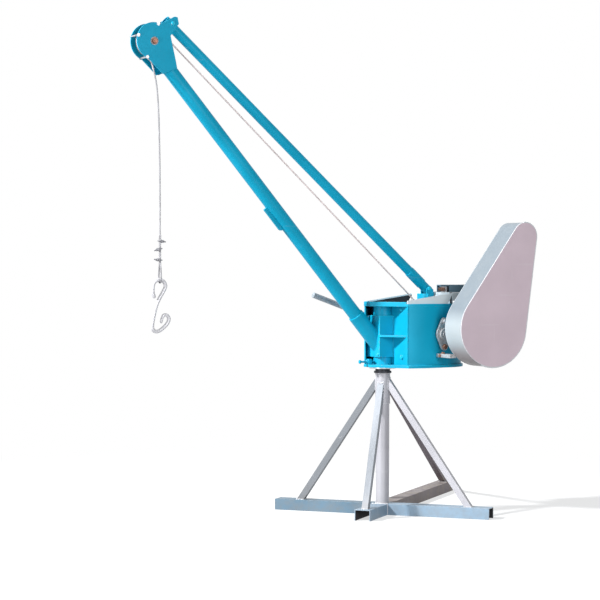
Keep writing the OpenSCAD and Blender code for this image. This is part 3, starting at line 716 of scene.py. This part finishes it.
# %% Plates and tubes of the stand and the head
wing_at, wing_slope, wing_y = Vector((23, 0, 939.5)) * mm, 0.14, -155
cuts = {"cross_channel": [(Vector((0, 0, 0)), arm_y)],
        "motor_platform": [(wing_at, (-wing_slope, 0, 1)), (Y * wing_y * mm, Y)]}
plates = {}
for face, edge, slot, widths in (
        (paint, paint_edge_highlit, "turquoise_paint",
         {"bottom_plate": 1.2, "top_plate": 1.2, "hub_shelves": 0.9, "hub_side": 0.8, "hub_box": 2.6,
          "hub_tube": 0.8, "housing_bulkheads": 0.8, "housing_wall": 0.7, "boom_clip": 1.4,
          "stay_ears": 1.0, "cheek_plates": 1.1, "boom_socket": 2.0, "boom_tube": 0.6, "stay_tube": 0.8,
          "guard_spigot": 0.6}),
        (stand_paint, stand_edge_highlit, "stand_paint", {"cross_channel": 1.0, "front_back_arms": 1.0}),
        (column_paint, column_edge_highlit, "stand_paint",
         {"side_braces": 1.4, "brace_front": 1.4, "brace_back": 1.4, "column": 0.6, "column_sleeve": 0.8}),
        (platform_paint, pale_edge_highlit, "platform_paint", {"motor_platform": 1.2}),
        (rail_paint, rail_paint, "rail_paint", {"engine_rails": 1.0}),
        (face_paint, pale_edge_highlit, "guard_face_paint", {"guard_face": 1.3}),
        (pale_paint, pale_edge_highlit, "pale_paint", {"guard_rim": 0.8, "guard_back": 0.8}),
        (dark_steel, dark_steel, "dark_steel", {"thrust_collar": 1.0}),
        (zinc, zinc, "zinc", {"hub_flange": 0.9}),
        (steel, steel, "steel", {"sheave": 0.6}),
        (cast_metal, cast_metal, "zinc", {"drum_bearings": 1.6}),
        (zinc, zinc, "zinc", {"tension_bracket": 0.8}),
        (cast_metal, cast_metal, "zinc", {"guard_arm": 1.0})):
    for node, width in widths.items():
        plates[node] = softened(node, width * mm, face, edge, cuts.get(node, ()))

# %% [markdown]
# ## Dark insides, dirt and painted light and shade
# The insides of the channels are dark. The inner sides of the folded platform are dark as well, a
# painted shade for the deep shadow they lie in. The back arm drags over the ground and has the
# dirtiest paint; it and the back brace are also darker, a painted shade on sides turned from the
# lamps. The left arm of the cross, the left side brace and the front brace take darker copies of the
# stand's paint, a painted shade set for how the lamps reach each of them. The head's side plate is a
# lighter turquoise on its faces towards -Y, a painted fill light in the open head. The faces are
# picked by their place and direction, in millimetres. The stand is turned under the head, so its
# faces are picked in its own directions.

# %% Dark insides, dirt and painted shade
wall_inside, web_under, deck_x = 33, 40, 258


def in_channel(across):
    """Picks the faces inside a channel that has its side walls in this direction."""
    return lambda at, way: ((abs(way.dot(across)) > 0.9 and abs(at.dot(across)) < wall_inside)
                            or (way.z < -0.9 and at.z > web_under))


# The faces picked here are painted dark, a painted shade for the deep shadow in the folds.
def in_wings(at, way):
    """Picks the inner sides of the platform's folds."""
    below_wing = at.z < wing_at.z / mm + wing_slope * (at.x - wing_at.x / mm)
    far_fold = at.y > 160 and way.y < -0.9 and at.x < deck_x and below_wing
    return far_fold or (at.y < wing_y and way.x < -0.9 and 250 < at.x < 254)


# The stand's darker copies and the platform's dark folds are a painted shade; the head's lighter turquoise is
# a painted fill light.
for node, finish, picked in (
        ("cross_channel", left_arm_painted_shade, lambda at, way: at.dot(arm_y) > 0),
        ("front_back_arms", back_dirt_and_painted_shade, lambda at, way: at.dot(arm_x) > 30),
        ("brace_back", back_dirt_and_painted_shade, lambda at, way: True),
        ("brace_front", front_brace_painted_shade, lambda at, way: True),
        ("side_braces", left_brace_painted_shade, lambda at, way: at.dot(arm_y) > 0),
        ("cross_channel", dark_insides, in_channel(arm_x)),
        ("front_back_arms", dark_insides, in_channel(arm_y)),
        # The side plate's faces towards -Y are painted lighter, a painted fill light in the open head.
        ("hub_side", head_side_painted_light, lambda at, way: way.y < -0.3),
        ("motor_platform", dark_insides, in_wings)):
    dress(plates[node], finish, picked)

# %% [markdown]
# ## Turned pieces
# Washers, bolt shanks, studs and the nuts' round parts are all turned on a lathe, so they are
# made as a turner would: half an outline, given as radius and height, is spun once round. The
# outline starts as a flat ring of corners, each moved to its place. The ring is closed after the
# spin by merging the doubled corners, and its faces are then turned outwards.

# %% A lathe
def turned(name, outline, steps=28):
    """A round piece about Z from a closed outline of (radius, height) in millimetres."""
    bpy.ops.object.select_all(action="DESELECT")
    bpy.ops.mesh.primitive_circle_add(vertices=len(outline), radius=1)
    piece = bpy.context.object
    piece.name = name
    bpy.ops.object.mode_set(mode="EDIT")
    shape = bmesh.from_edit_mesh(piece.data)
    for corner, (r, z) in zip(shape.verts, outline):
        corner.co = (r * mm, 0, z * mm)
    bmesh.update_edit_mesh(piece.data)
    bpy.ops.mesh.select_all(action="SELECT")
    bpy.ops.mesh.spin(steps=steps, angle=2 * math.pi, center=(0, 0, 0), axis=(0, 0, 1))
    bpy.ops.mesh.select_all(action="SELECT")
    bpy.ops.mesh.remove_doubles(threshold=0.00001)
    bpy.ops.mesh.normals_make_consistent(inside=False)
    bpy.ops.object.mode_set(mode="OBJECT")
    return piece


def screw_thread(r, low, high, pitch):
    """The outline of a stud with a thread between two heights; its end is chamfered."""
    outline, count = [(0, low)], round((high - low) / pitch)
    for i in range(count):
        z = low + pitch * i
        outline += [(r - 0.55 * pitch, z), (r, z + 0.35 * pitch), (r, z + 0.6 * pitch)]
    return outline + [(r - 0.7 * pitch, high), (0, high)]


def round_bar(r, half, steps):
    """A plain round bar about Z, as long above as below."""
    return turned("round_bar", [(0, -half), (r, -half), (r, half), (0, half)], steps)


def placed(model, at, way=Z, turn=0.0, size=1.0):
    """A copy of a round model, its foot at a place and its Z along a way."""
    spun = Vector(way).to_track_quat("Z", "Y").to_matrix().to_4x4() @ Matrix.Rotation(turn, 4, "Z")
    return copied(model, Matrix.Translation(at) @ spun @ Matrix.Scale(size, 4))


def joined(name, pieces):
    """The pieces as one, under a new name."""
    only(*pieces)
    bpy.ops.object.join()
    pieces[0].name = pieces[0].data.name = name
    return pieces[0]


def settle(piece, body, finish, slot, *nodes, angle=32):
    """Smooths a finished piece, paints it and gives it to its body."""
    if finish:
        piece.data.materials.clear()
        piece.data.materials.append(finish)
    smooth(piece, angle)
    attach(piece, body)
    if nodes:
        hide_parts(*nodes)
    print(piece.name, len(piece.data.polygons), "faces")
    return piece


def block(name, at, size):
    """A square block with its middle at a place."""
    bpy.ops.object.select_all(action="DESELECT")
    bpy.ops.mesh.primitive_cube_add(size=1, location=(0, 0, 0))
    piece = bpy.context.object
    piece.name = name
    piece.data.transform(Matrix.Translation(at) @ Matrix.Diagonal((*size, 1)))
    return piece


def leave(*models):
    """Takes away the models that copies were made of."""
    for model in models:
        bpy.data.objects.remove(model)


# %% [markdown]
# ## Bolts
# The crane is put together with plain hexagon bolts. A bolt head has six flats, a round chamfer on
# top and a washer under it. One head is made for a 12 mm bolt and copied at other sizes: a
# six-sided primitive, its top face inset for the round land and its six outer corners pushed down.
# The bolts that were in place when the spray gun came are painted over.

# %% A hexagon head on its washer
def hexagon(name, across, thick, foot):
    """A bolt head or a nut that is so wide across its flats, standing this high above its foot."""
    bpy.ops.object.select_all(action="DESELECT")
    bpy.ops.mesh.primitive_cylinder_add(vertices=6, radius=across / math.sqrt(3) * mm, depth=thick * mm,
                                        location=(0, 0, (foot + thick / 2) * mm))
    piece = bpy.context.object
    piece.name = name
    piece.data.transform(Matrix.Translation(piece.location))
    piece.location = (0, 0, 0)
    bpy.ops.object.mode_set(mode="EDIT")
    bpy.ops.mesh.select_all(action="DESELECT")
    shape = bmesh.from_edit_mesh(piece.data)
    top = max(shape.faces, key=lambda face: face.calc_center_median().z)
    top.select_set(True)
    bmesh.update_edit_mesh(piece.data)
    bpy.ops.mesh.inset(thickness=0.085 * across * mm)
    bpy.ops.mesh.select_all(action="DESELECT")
    shape = bmesh.from_edit_mesh(piece.data)
    high = (foot + thick) * mm
    for vert in shape.verts:
        if abs(vert.co.z - high) < 1e-6 and vert.co.xy.length > 0.53 * across * mm:
            vert.select_set(True)
    shape.select_flush_mode()
    bmesh.update_edit_mesh(piece.data)
    bpy.ops.transform.translate(value=(0, 0, -0.06 * across * mm))
    bpy.ops.object.mode_set(mode="OBJECT")
    return piece


def washer(name, r, hole, thick):
    return turned(name, [(hole, 0), (r - 0.12 * thick, 0), (r, 0.15 * thick), (r, 0.8 * thick),
                         (r - 0.25 * thick, thick), (hole, thick)], 32)


flats = 18
bolt_head = joined("bolt_head", [hexagon("hexagon", flats, 7.5, 2.2), washer("washer", 12, 5, 2.4)])
nut = joined("nut", [hexagon("hexagon", flats, 9, 2.2), washer("washer", 12, 5, 2.4),
                     turned("stud", screw_thread(5.8, 9, 19, 1.6), 16)])
print("bolt head", len(bolt_head.data.polygons), "nut", len(nut.data.polygons), "faces")

# %% Bolts of the head
bulkhead_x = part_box("housing_bulkheads")[0].x
box_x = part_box("hub_box")[0].x
painted_bolts = joined("painted_bolts", [
    placed(bolt_head, Vector(at), -X, turn, size) for at, turn, size in (
        ((bulkhead_x, -0.130, 0.702), 0.4, 0.85), ((bulkhead_x, -0.118, 0.911), 0.1, 0.55),
        ((bulkhead_x, 0.150, 0.908), 0.6, 0.75), ((bulkhead_x, 0.130, 0.702), 0.2, 0.85),
        ((box_x, 0.044, 0.874), 0.3, 0.6), ((box_x, -0.044, 0.712), 0.9, 0.6))])
# The painted bolts take the lighter edge paint, partly a painted highlight.
settle(painted_bolts, "head", paint_edge_highlit, "turquoise_paint")

ear_y = 27.3 * mm
cheek_out_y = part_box("cheek_plates")[1].y
stay_foot_at = Vector((0.224, 0, 1.001))
stay_head_at = sheave_at + Vector((0.084, 0, 0.076))
pins = []
for pin_at, half in ((stay_foot_at, ear_y), (stay_head_at, cheek_out_y)):
    shank = round_bar(5.9, half / mm, 20)
    pins += [placed(bolt_head, pin_at - half * Y, -Y, 0.3, 0.84),
             placed(nut, pin_at + half * Y, Y, 0.7, 0.84), placed(shank, pin_at, Y)]
    leave(shank)
# The stay pins take the lighter edge paint, partly a painted highlight.
settle(joined("stay_pins", pins), "head", paint_edge_highlit, "turquoise_paint", "stay_bolts")

# %% [markdown]
# ## The boom's head
# Two round cheeks carry the sheave on a thick bolt. The bolt has gone a coppery brown and sits in
# a grey washer. Three long studs hold the cheeks apart and keep the rope in its groove, each
# with a nut at both ends.

# %% Axle bolt, its rings and the studs
ring_thick = 2.6
shank = round_bar(7.9, 38, 28)
seat = cheek_out_y + ring_thick * mm
axle_parts = [placed(bolt_head, sheave_at - seat * Y, -Y, 0.2, 1.14),
              placed(nut, sheave_at + seat * Y, Y, 0.5, 1.28), placed(shank, sheave_at, Y)]
settle(joined("axle_bolt", axle_parts), "head", copper_bolt, "rusty_steel", "sheave_axle")
ring = washer("ring", 17.5, 8.4, ring_thick)
spacer = turned("spacer", [(8.1, 8.6), (13.4, 8.6), (14, 9.2), (14, 29.4), (13.4, 30), (8.1, 30)], 28)
axle_rings = [placed(ring, sheave_at + side * cheek_out_y * Y, side * Y) for side in (-1, 1)]
axle_rings += [placed(spacer, sheave_at, side * Y) for side in (-1, 1)]
leave(shank, ring, spacer)
settle(joined("axle_rings", axle_rings), "head", clip_zinc, "zinc")

studs = []
stud = turned("stud", screw_thread(3.9, 8, 41.2, 1.25)[:-2] + [(3.0, 41.2), (0, 41.2)], 16)
rod = round_bar(3.9, 31, 16)
for degrees in (76, 164, 245):
    at = round_point(sheave_at, 74.5 * mm, math.radians(degrees))
    studs.append(placed(rod, at, Y))
    for side in (-1, 1):
        studs.append(placed(stud, at, side * Y))
        studs.append(placed(bolt_head, at + side * cheek_out_y * Y, side * Y, degrees, 0.62))
leave(stud, rod)
settle(joined("cheek_studs", studs), "head", zinc, "zinc", "cheek_rods")

# %% [markdown]
# ## Bearings of the drum
# An oval cast flange on each side of the housing carries the drum's shaft. Two bolts hold each
# one, and a small grease nipple sits on its boss. The lower bolts have rusted, and so have the two
# that hold the guard's arm.

# %% Bolts and nipples of the bearings
boss_high, bolt_lift = 10 * mm, 56
flange_y = abs(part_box("drum_bearings")[0].y + boss_high)
nipple = turned("nipple", [(0, -1), (2.6, -1), (2.6, 3), (1.6, 4), (1.6, 5), (2.3, 6), (1.9, 7.6),
                           (0, 8.2)], 16)
bright, rusty, nipples = [], [], []
for side in (-1, 1):
    for lift, where in ((bolt_lift, bright), (-bolt_lift, rusty)):
        at = drum_at + Vector((0, side * flange_y, lift * mm))
        where.append(placed(bolt_head, at, side * Y, lift + side))
    nipples.append(placed(nipple, drum_at + Vector((-18 * mm, side * (flange_y + 5 * mm), 18.4 * mm)), Z - X))
leave(nipple)
settle(joined("bearing_bolts", bright), "head", zinc, "zinc")
arm_low, arm_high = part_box("guard_arm")
rusty.append(placed(bolt_head, Vector((arm_low.x + 0.011, -0.222, arm_high.z)), Z, 0.4, 0.8))
rusty.append(placed(bolt_head, Vector((arm_low.x, -0.214, (arm_low.z + arm_high.z) / 2)), -X, 0.1, 0.66))
settle(joined("rusty_bolts", rusty), "head", rusty_steel, "rusty_steel")
settle(joined("grease_nipples", nipples), "head", zinc, "zinc")

# %% [markdown]
# ## Weld beads
# The crane is held together by welds, and their beads show at its joints: a ridge about 5 mm
# wide with the ripples of a hand-moved torch. A bead is a bar along the joint whose radius rises
# and falls each few millimetres. Most beads run between places, some of them read off the solids
# and some given as numbers, or in circles round a tube. For the braces, the boom's socket, the
# curved wall, the guard's spigot and the handle, rays are cast onto a solid, and the bead follows
# where they land. All beads of the stand are one piece, and so are those of the head.

# %% Landing a line on a solid
def landed(points, way, node):
    """Where rays from the points along the way meet the node; those that miss are left out."""
    mesh = frame["nodes"][node].data
    tree = BVHTree.FromPolygons([v.co for v in mesh.vertices], [tuple(f.vertices) for f in mesh.polygons])
    hits = [tree.ray_cast(p, Vector(way).normalized(), 3.0)[0] for p in points]
    return [hit for hit in hits if hit]


def ring_points(at, across, over, r, start=0.0, end=360.0, count=48):
    """Points round a circle, or from one of its angles to another."""
    turns = [math.radians(start + (end - start) * k / count) for k in range(count + 1)]
    return [at + r * (math.cos(t) * across + math.sin(t) * over) for t in turns]


def square_points(at, across, over, half, count=10):
    """Points round a square, this many on each side."""
    corners = [(-1, -1), (1, -1), (1, 1), (-1, 1), (-1, -1)]
    points = []
    for (a, b), (c, d) in zip(corners, corners[1:]):
        points += [at + half * ((a + (c - a) * k / count) * across + (b + (d - b) * k / count) * over)
                   for k in range(count)]
    return points + [at - half * (across + over)]


def beads(name, lines, width, body, finish, slot):
    """Rippled bars along the lines: short even ripples with a slow swell over them."""
    made = []
    for number, line in enumerate(lines):
        if len(line) < 2 or length_of(line) < 2 * width:
            print("a bead of", name, "has no line:", number)
            continue
        line = even_line(line, width * 0.28)
        radii = []
        for i in range(len(line)):
            ripple, swell = math.cos(2.1 * i + number), math.sin(0.37 * i * (1 + number % 3))
            radii.append(width / 2 * (0.86 + 0.16 * ripple + 0.07 * swell))
        for k in (0, -1):
            radii[k] *= 0.35
        made.append(bars(name, [line], radii))
    return settle(joined(name, made), body, finish, slot, angle=60)


# %% Beads of the stand
arm_w, arm_h = 36 * mm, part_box("cross_channel")[1].z
column_r, sleeve_r, brace_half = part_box("column")[1].x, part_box("column_sleeve")[1].x, 14 * mm
sleeve_low, sleeve_high = (corner.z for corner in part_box("column_sleeve"))
brace_top = Z * 625 * mm
stand_lines = [ring_points(Z * z, X, Y, r) for z, r in (
    (arm_h + 0.6 * mm, column_r + 0.7 * mm), (sleeve_low - 0.3 * mm, column_r + 1.4 * mm),
    (sleeve_high + 0.1 * mm, sleeve_r + 0.8 * mm))]
for out in (arm_x, -arm_x):
    side, edge, wide = Z.cross(out), out * (arm_w + 1.0 * mm), arm_w + 0.4 * mm
    stand_lines.append([edge + side * y + Z * z for y, z in (
        (-arm_w, 2 * mm), (-wide, arm_h), (wide, arm_h), (arm_w, 2 * mm))])
for foot, turn, arms in ((386, 90, "cross_channel"), (398, -90, "cross_channel"),
                         (230, 180, "front_back_arms"), (952, 0, "front_back_arms")):
    out = level(stand_turn + math.radians(turn))
    side, foot_at = Z.cross(out), out * foot * mm + Z * arm_h
    way = (foot_at - brace_top).normalized()
    rim = square_points(brace_top.lerp(foot_at, 0.5), side, way.cross(side), brace_half + 0.8 * mm)
    stand_lines += [landed(rim, way, arms), landed(rim, -way, "column_sleeve")]
# The stand's beads take the column's lighter edge paint, partly a painted highlight.
beads("stand_beads", stand_lines, 5.2 * mm, "stand", column_edge_highlit, "stand_paint")

# %% Beads of the head
bead, nose_w = 0.8 * mm, 29 * mm
nose_x, in_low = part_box("bottom_plate")[0].x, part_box("bottom_plate")[1].z
in_top, top_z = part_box("top_plate")[0].z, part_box("stay_ears")[0].z
hub_tube_r, half_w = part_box("hub_tube")[1].x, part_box("housing_bulkheads")[1].y
(_, _, box_low), (_, box_y, box_top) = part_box("hub_box")
weld_x, shelf_z = bulkhead_x - bead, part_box("hub_shelves")[1].z + bead
head_lines = []
for side in (-1, 1):
    y = side * (box_y + bead)
    head_lines += [[Vector((weld_x, y, box_low)), Vector((weld_x, y, box_top))],
                   [Vector((box_x, y, shelf_z)), Vector((weld_x, y, shelf_z)),
                    Vector((weld_x, side * 160 * mm, shelf_z))]]
    head_lines += [[Vector((weld_x, side * (hub_tube_r + 3 * mm), z)), Vector((weld_x, side * 168 * mm, z))]
                   for z in (in_low + bead, in_top - bead)]
head_lines += [ring_points(Z * z, X, Y, hub_tube_r + bead, 62, 298) for z in (in_low + bead, in_top - bead)]
head_lines.append([Vector((nose_x + 10 * mm, nose_w + 3 * mm, in_low + bead)),
                   Vector((18 * mm, half_w - 14 * mm, in_low + bead))])
socket_ring = ring_points(socket_mouth, Y, boom_side, 35.8 * mm)
head_lines.append(landed(socket_ring, -boom_way, "hub_box"))

housing_x, outside_r, wall_turn, steps = 160 * mm, 600 * mm, 129, 120
seam = []
for k in range(steps + 1):
    turn = math.radians(-wall_turn + 2 * wall_turn * k / steps)
    outside = Vector((housing_x + outside_r * math.cos(turn), outside_r * math.sin(turn), in_low + 4 * mm))
    inward = Vector((housing_x - outside.x, -outside.y, 0))
    seam += [Vector((p.x, p.y, in_low + bead)) for p in landed([outside], inward, "housing_wall")]
head_lines.append([p + (p - Vector((housing_x, 0, p.z))).normalized() * 0.4 * mm for p in seam])
spigot_ring = ring_points(Vector((308, -290, 833)) * mm, X, Z, 40.7 * mm, count=72)
head_lines.append(landed(spigot_ring, Y, "housing_wall"))
handle_turn = math.radians(19.3)
handle_way = Vector((math.cos(handle_turn), 0, -math.sin(handle_turn)))
handle_ring = ring_points(Vector((-271, 150, 973)) * mm, Y, handle_way.cross(Y), 13 * mm, count=36)
head_lines.append(landed(handle_ring, handle_way, "hub_side"))
clip_low = socket_mouth + boom_way * 533 * mm - boom_side * 30 * mm
for y in (-5.4, 5.4):
    clip_foot = clip_low + Y * y * mm
    head_lines.append([clip_foot, clip_foot + boom_way * 110 * mm])
for y in (-31.2, 31.2):
    head_lines.append([sheave_at + Vector((x, y, z)) * mm
                       for x, z in ((100, -110.5), (72, -122.6), (46, -134))])
for side in (-1, 1):
    foot_y = side * (ear_y + 0.6 * mm)
    head_lines.append([Vector((x * mm, foot_y, top_z + bead)) for x in (213, 247)])
    head_lines.append([Vector((205.4 * mm, side * y * mm, top_z + bead)) for y in (4, 46)])
beads("head_beads", head_lines, 4.6 * mm, "head", paint, "turquoise_paint")

# %% [markdown]
# ## The hook
# The hook is a single round bar bent hot into a long S: a closed eye above for the rope, an open
# bowl below for the load. Its point is drawn out thinner than the rest and both ends are rounded
# off. A bar whose thickness changes along a bent line is made ring by ring, as the rope was.

# %% Bent bar with a drawn-out point
hook_r, drawn_out = 8 * mm, 75 * mm
hook_xz = [(-23, -76), (-31, -58), (-33, -36), (-29, -15), (-17, -3), (0, 0), (17, -7), (25, -27),
           (13, -52), (-5, -82), (-19, -115), (-31, -165), (-35, -195), (-28, -212), (-9, -215),
           (14, -202), (34, -182), (41, -163), (33, -149), (19, -147), (11, -158), (7, -171), (5, -182)]
hook_line = even_line(smooth_line([hook_at + Vector((x, 0, z)) * mm for x, z in hook_xz], 8), 1.6 * mm)
hook_length = length_of(hook_line)
hook_radii = []
for i in range(len(hook_line)):
    from_eye = hook_length * i / (len(hook_line) - 1)
    from_point = hook_length - from_eye
    r = hook_r * (0.66 + 0.34 * min(1, from_point / drawn_out) ** 0.7)
    end = min(from_eye, from_point)
    hook_radii.append(r if end > r else max(0.1 * r, math.sqrt(r * r - (r - end) ** 2)))
settle(bars("hook_bar", [hook_line], hook_radii, 20), "hook", hook_zinc, "steel", "hook", angle=60)

# %% [markdown]
# ## Wire rope clips
# Three clips hold the rope's short end against the rope. Each is a U of thin bar round both
# strands, a saddle across its legs and two nuts. The legs run on past the nuts with their thread.
# They look to both sides by turns, as they were put on by hand.

# %% U, saddle, nuts and threads of one clip
leg_y, leg_r, bow_x, leg_end, corner = 9.2, 2.4, -6.8, 23.0, 3.6
half_u = [(9, leg_y), (0, leg_y), (bow_x + corner, leg_y), (bow_x + 0.3 * corner, leg_y - 0.3 * corner),
          (bow_x, leg_y - corner)]
u_points = [(x, -y) for x, y in half_u] + [(bow_x, 0)] + half_u[::-1]
u_line = even_line(smooth_line([Vector((x, y, 0)) * mm for x, y in u_points], 5), 1.1 * mm)
clip = [bars("u", [u_line], leg_r * mm, 10)]
leg = turned("leg", screw_thread(leg_r + 0.1, 8, leg_end, 0.8), 10)
clip_nut = hexagon("clip_nut", 8.6, 5.2, 10.4)
clip_washer = turned("clip_washer", [(2.4, 9.8), (4.9, 9.8), (5.1, 10.0), (4.9, 10.5), (2.4, 10.5)], 16)
for side in (-1, 1):
    for part in (leg, clip_nut, clip_washer):
        clip.append(placed(part, Vector((0, side * leg_y, 0)) * mm, X, 0.3 * side))
leave(leg, clip_nut, clip_washer)

saddle = block("saddle", (6.6 * mm, 0, 0), (5.8 * mm, 24 * mm, 13 * mm))
only(saddle)
bpy.ops.object.mode_set(mode="EDIT")
bpy.ops.mesh.select_all(action="DESELECT")
shape = bmesh.from_edit_mesh(saddle.data)
for face in shape.faces:
    face.select_set(abs(face.normal.x) > 0.9 and face.calc_center_median().x > 6 * mm)
bmesh.update_edit_mesh(saddle.data)
bpy.ops.mesh.inset(thickness=1.6 * mm)
bpy.ops.transform.translate(value=(0.6 * mm, 0, 0))
bpy.ops.object.mode_set(mode="OBJECT")
bevel(saddle, 0.7 * mm, angle=20)
clip = joined("clip", clip + [saddle])
clips = [copied(clip, Matrix.Translation(hook_at + Z * lift * mm)
                @ Matrix.Rotation(half_turn, 4, "Z") @ Matrix.Rotation(tilt, 4, "Y"))
         for lift, half_turn, tilt in ((163, 0, 0.16), (130, math.pi, 0.34), (84, math.pi, -0.12))]
leave(clip)
rope_grips = settle(joined("rope_grips", clips), "rope_end", clip_zinc, "zinc", "rope_clips")

# %% [markdown]
# ## Screws of the motor platform and the slewing lock
# A screw with two nuts pulls the motor along its rails to tighten the belt. The long nut has
# rusted and the short one is oiled black. A bolt through a welded block under the boom presses on
# the turning tube and holds the head in one direction. All of it is threaded bar, turned with its
# thread as an outline, and the block is a piece of square bar with its corners taken off.

# %% Tension screw and its two nuts
screw_at = Vector((0.313, -0.038, 0.999))
screw, long_nut, short_nut = (turned("screw", screw_thread(5.8, -46, -1, 1.75), 20),
                              hexagon("long_nut", 17, 17.8, 0), hexagon("short_nut", 17, 10.8, 0))
tension_rod = joined("tension_rod", [placed(screw, screw_at, X),
                                     placed(long_nut, screw_at - 21.4 * mm * X, -X, 0.52)])
settle(tension_rod, "head", rusty_steel, "rusty_steel", "tension_screw")
tension_nut = placed(short_nut, screw_at - 14.6 * mm * X, X, 0.52)
tension_nut.name = "tension_nut"
settle(tension_nut, "head", dark_steel, "dark_steel")
leave(screw, long_nut, short_nut)

# %% Block, bolt and nut of the slewing lock
lock_low, lock_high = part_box("hub_slew_bolt")
lock_z = (lock_low.z + lock_high.z) / 2
lock_block = block("lock_block", (-69 * mm, 0, lock_z), (16 * mm, 24 * mm, 24 * mm))
bevel(lock_block, 1.6 * mm, angle=30)
settle(lock_block, "head", paint, "turquoise_paint")
lock_screw = turned("lock_screw", screw_thread(4.8, 5.5, 78, 1.5), 18)
lock_head, lock_nut = hexagon("lock_head", 14.8, 7.4, 0), hexagon("lock_nut", 14.8, 7, 0)
foot = Vector((lock_low.x, 0, lock_z))
lock_bolt = joined("lock_bolt", [placed(lock_screw, foot, X), placed(lock_head, foot + 7.6 * mm * X, -X, 0.2),
                                 placed(lock_nut, Vector((-77.4 * mm, 0, lock_z)), -X, 0.7)])
settle(lock_bolt, "head", paint, "turquoise_paint", "hub_slew_bolt")
leave(lock_screw, lock_head, lock_nut)

# %% [markdown]
# ## The sleeve on the stay's foot
# The stay is a thin tube, so a short wider sleeve is pushed over its foot and welded where the pin
# goes through. It is turned like the washers and laid along the stay.

# %% Stay sleeve
stay_way = (stay_head_at - stay_foot_at).normalized()
sleeve_model = turned("sleeve_model", [(21.4, 34), (22.6, 34), (23.4, 34.8), (23.4, 117), (22.2, 118.4),
                                       (21.4, 118.4)], 40)
stay_sleeve = placed(sleeve_model, stay_foot_at, stay_way)
stay_sleeve.name = "stay_sleeve"
settle(stay_sleeve, "head", paint, "turquoise_paint")
leave(sleeve_model)

# %% [markdown]
# ## The winch drum
# The drum is a turned shell with a flange at each end on a long shaft. The rope lies on it in
# close turns, side by side, so the outside of the wound part is a row of round ridges and not a
# plain cylinder. The drum is turned from its outline and the turns are one bar on a long helix.

# %% Shell, shaft and the wound rope
flange_half, flange_r, shell_r, shaft_r = 110, 108, 72.8, 15
shaft_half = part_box("rope_drum")[1].y / mm - 0.1
bearing_r, rim_r = shaft_r - 0.1, flange_r - 0.1
half_outline = [(0, -shaft_half), (shaft_r - 1.5, -shaft_half), (bearing_r, 1.5 - shaft_half),
                (bearing_r, -flange_half - 4), (rim_r - 1.3, -flange_half - 3.9),
                (rim_r, -flange_half - 2.6), (rim_r, -flange_half + 2.6), (rim_r - 1.3, -flange_half + 3.9),
                (shell_r + 3, -flange_half + 4), (shell_r, -flange_half + 7)]
drum_model = turned("drum_model", half_outline + [(r, -z) for r, z in reversed(half_outline)], 72)
drum_shell = placed(drum_model, drum_at, Y)
leave(drum_model)
drum_shell.name = "drum_shell"
settle(drum_shell, "drum", steel, "steel")
wound_r, pitch_y, turns_half, steps_round = 76.4, 7.15, 14.2, 60
helix = []
for k in range(int(2 * turns_half * steps_round)):
    turn = 2 * math.pi * (k / steps_round - turns_half)
    along = pitch_y * turn / (2 * math.pi)
    helix.append(drum_at + Vector((wound_r * math.cos(turn), along, wound_r * math.sin(turn))) * mm)
# The turns on the drum take the lighter copy of the rope's finish, a painted light.
settle(bars("wound_rope", [helix], rope_d / 2, 10), "drum", wire_painted_light, "wire_rope", "rope_drum", angle=50)

# %% [markdown]
# ## The guard's rolled edge
# The belt guard is a folded sheet box. Along its back and lower side the edge of its face is rolled
# over, which shows as a thin bright line. It is a bar on the guard's outline: two arcs of the two
# pulley circles and the straight tangent between them. The bar takes the lighter edge paint, partly
# a painted highlight.

# %% Rolled edge
low_at, high_at = Vector((0.308, 0, 0.833)), Vector((0.470, 0, 1.234))
low_r, high_r, roll_r, arc = 0.167, 0.060, 3 * mm, math.radians(105)
way_up = high_at - low_at
side_turn = math.atan2(way_up.z, way_up.x) - math.acos((low_r - high_r) / way_up.length)
edge_line = [round_point(low_at, low_r + mm, side_turn - arc * (1 - k / 40)) for k in range(41)]
edge_line += [round_point(high_at, high_r + mm, side_turn + arc * k / 20) for k in range(21)]
guard_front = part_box("guard_face")[0].y + roll_r + 0.1 * mm
for point in edge_line:
    point.y = guard_front
settle(bars("guard_edge", [even_line(edge_line, 6 * mm)], roll_r), "head", pale_edge_highlit, "pale_paint", angle=60)
leave(bolt_head, nut)

# %% [markdown]
# ## The handle, the ropes and the end
# The slewing handle is a plain bare pipe that is right as it is, and only takes its finish. The
# tight rope is given to the head, which carries it. The hanging rope keeps its place, with its
# transform baked into its mesh, and the rope's length is worked out at the end.

# %% The handle, the ropes and the end
for slot in frame["nodes"]["slewing_handle"].material_slots:
    slot.material = pipe_steel
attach(taut_rope, "head")
# The taut rope takes the lighter copy of the rope's finish, a painted light.
taut_rope.data.materials.append(wire_painted_light)
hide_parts("rope_run")
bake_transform(hanging_rope)
hanging_rope.data.materials.append(wire)
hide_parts("rope_fall", "rope_eye")
length_of(rope_line)
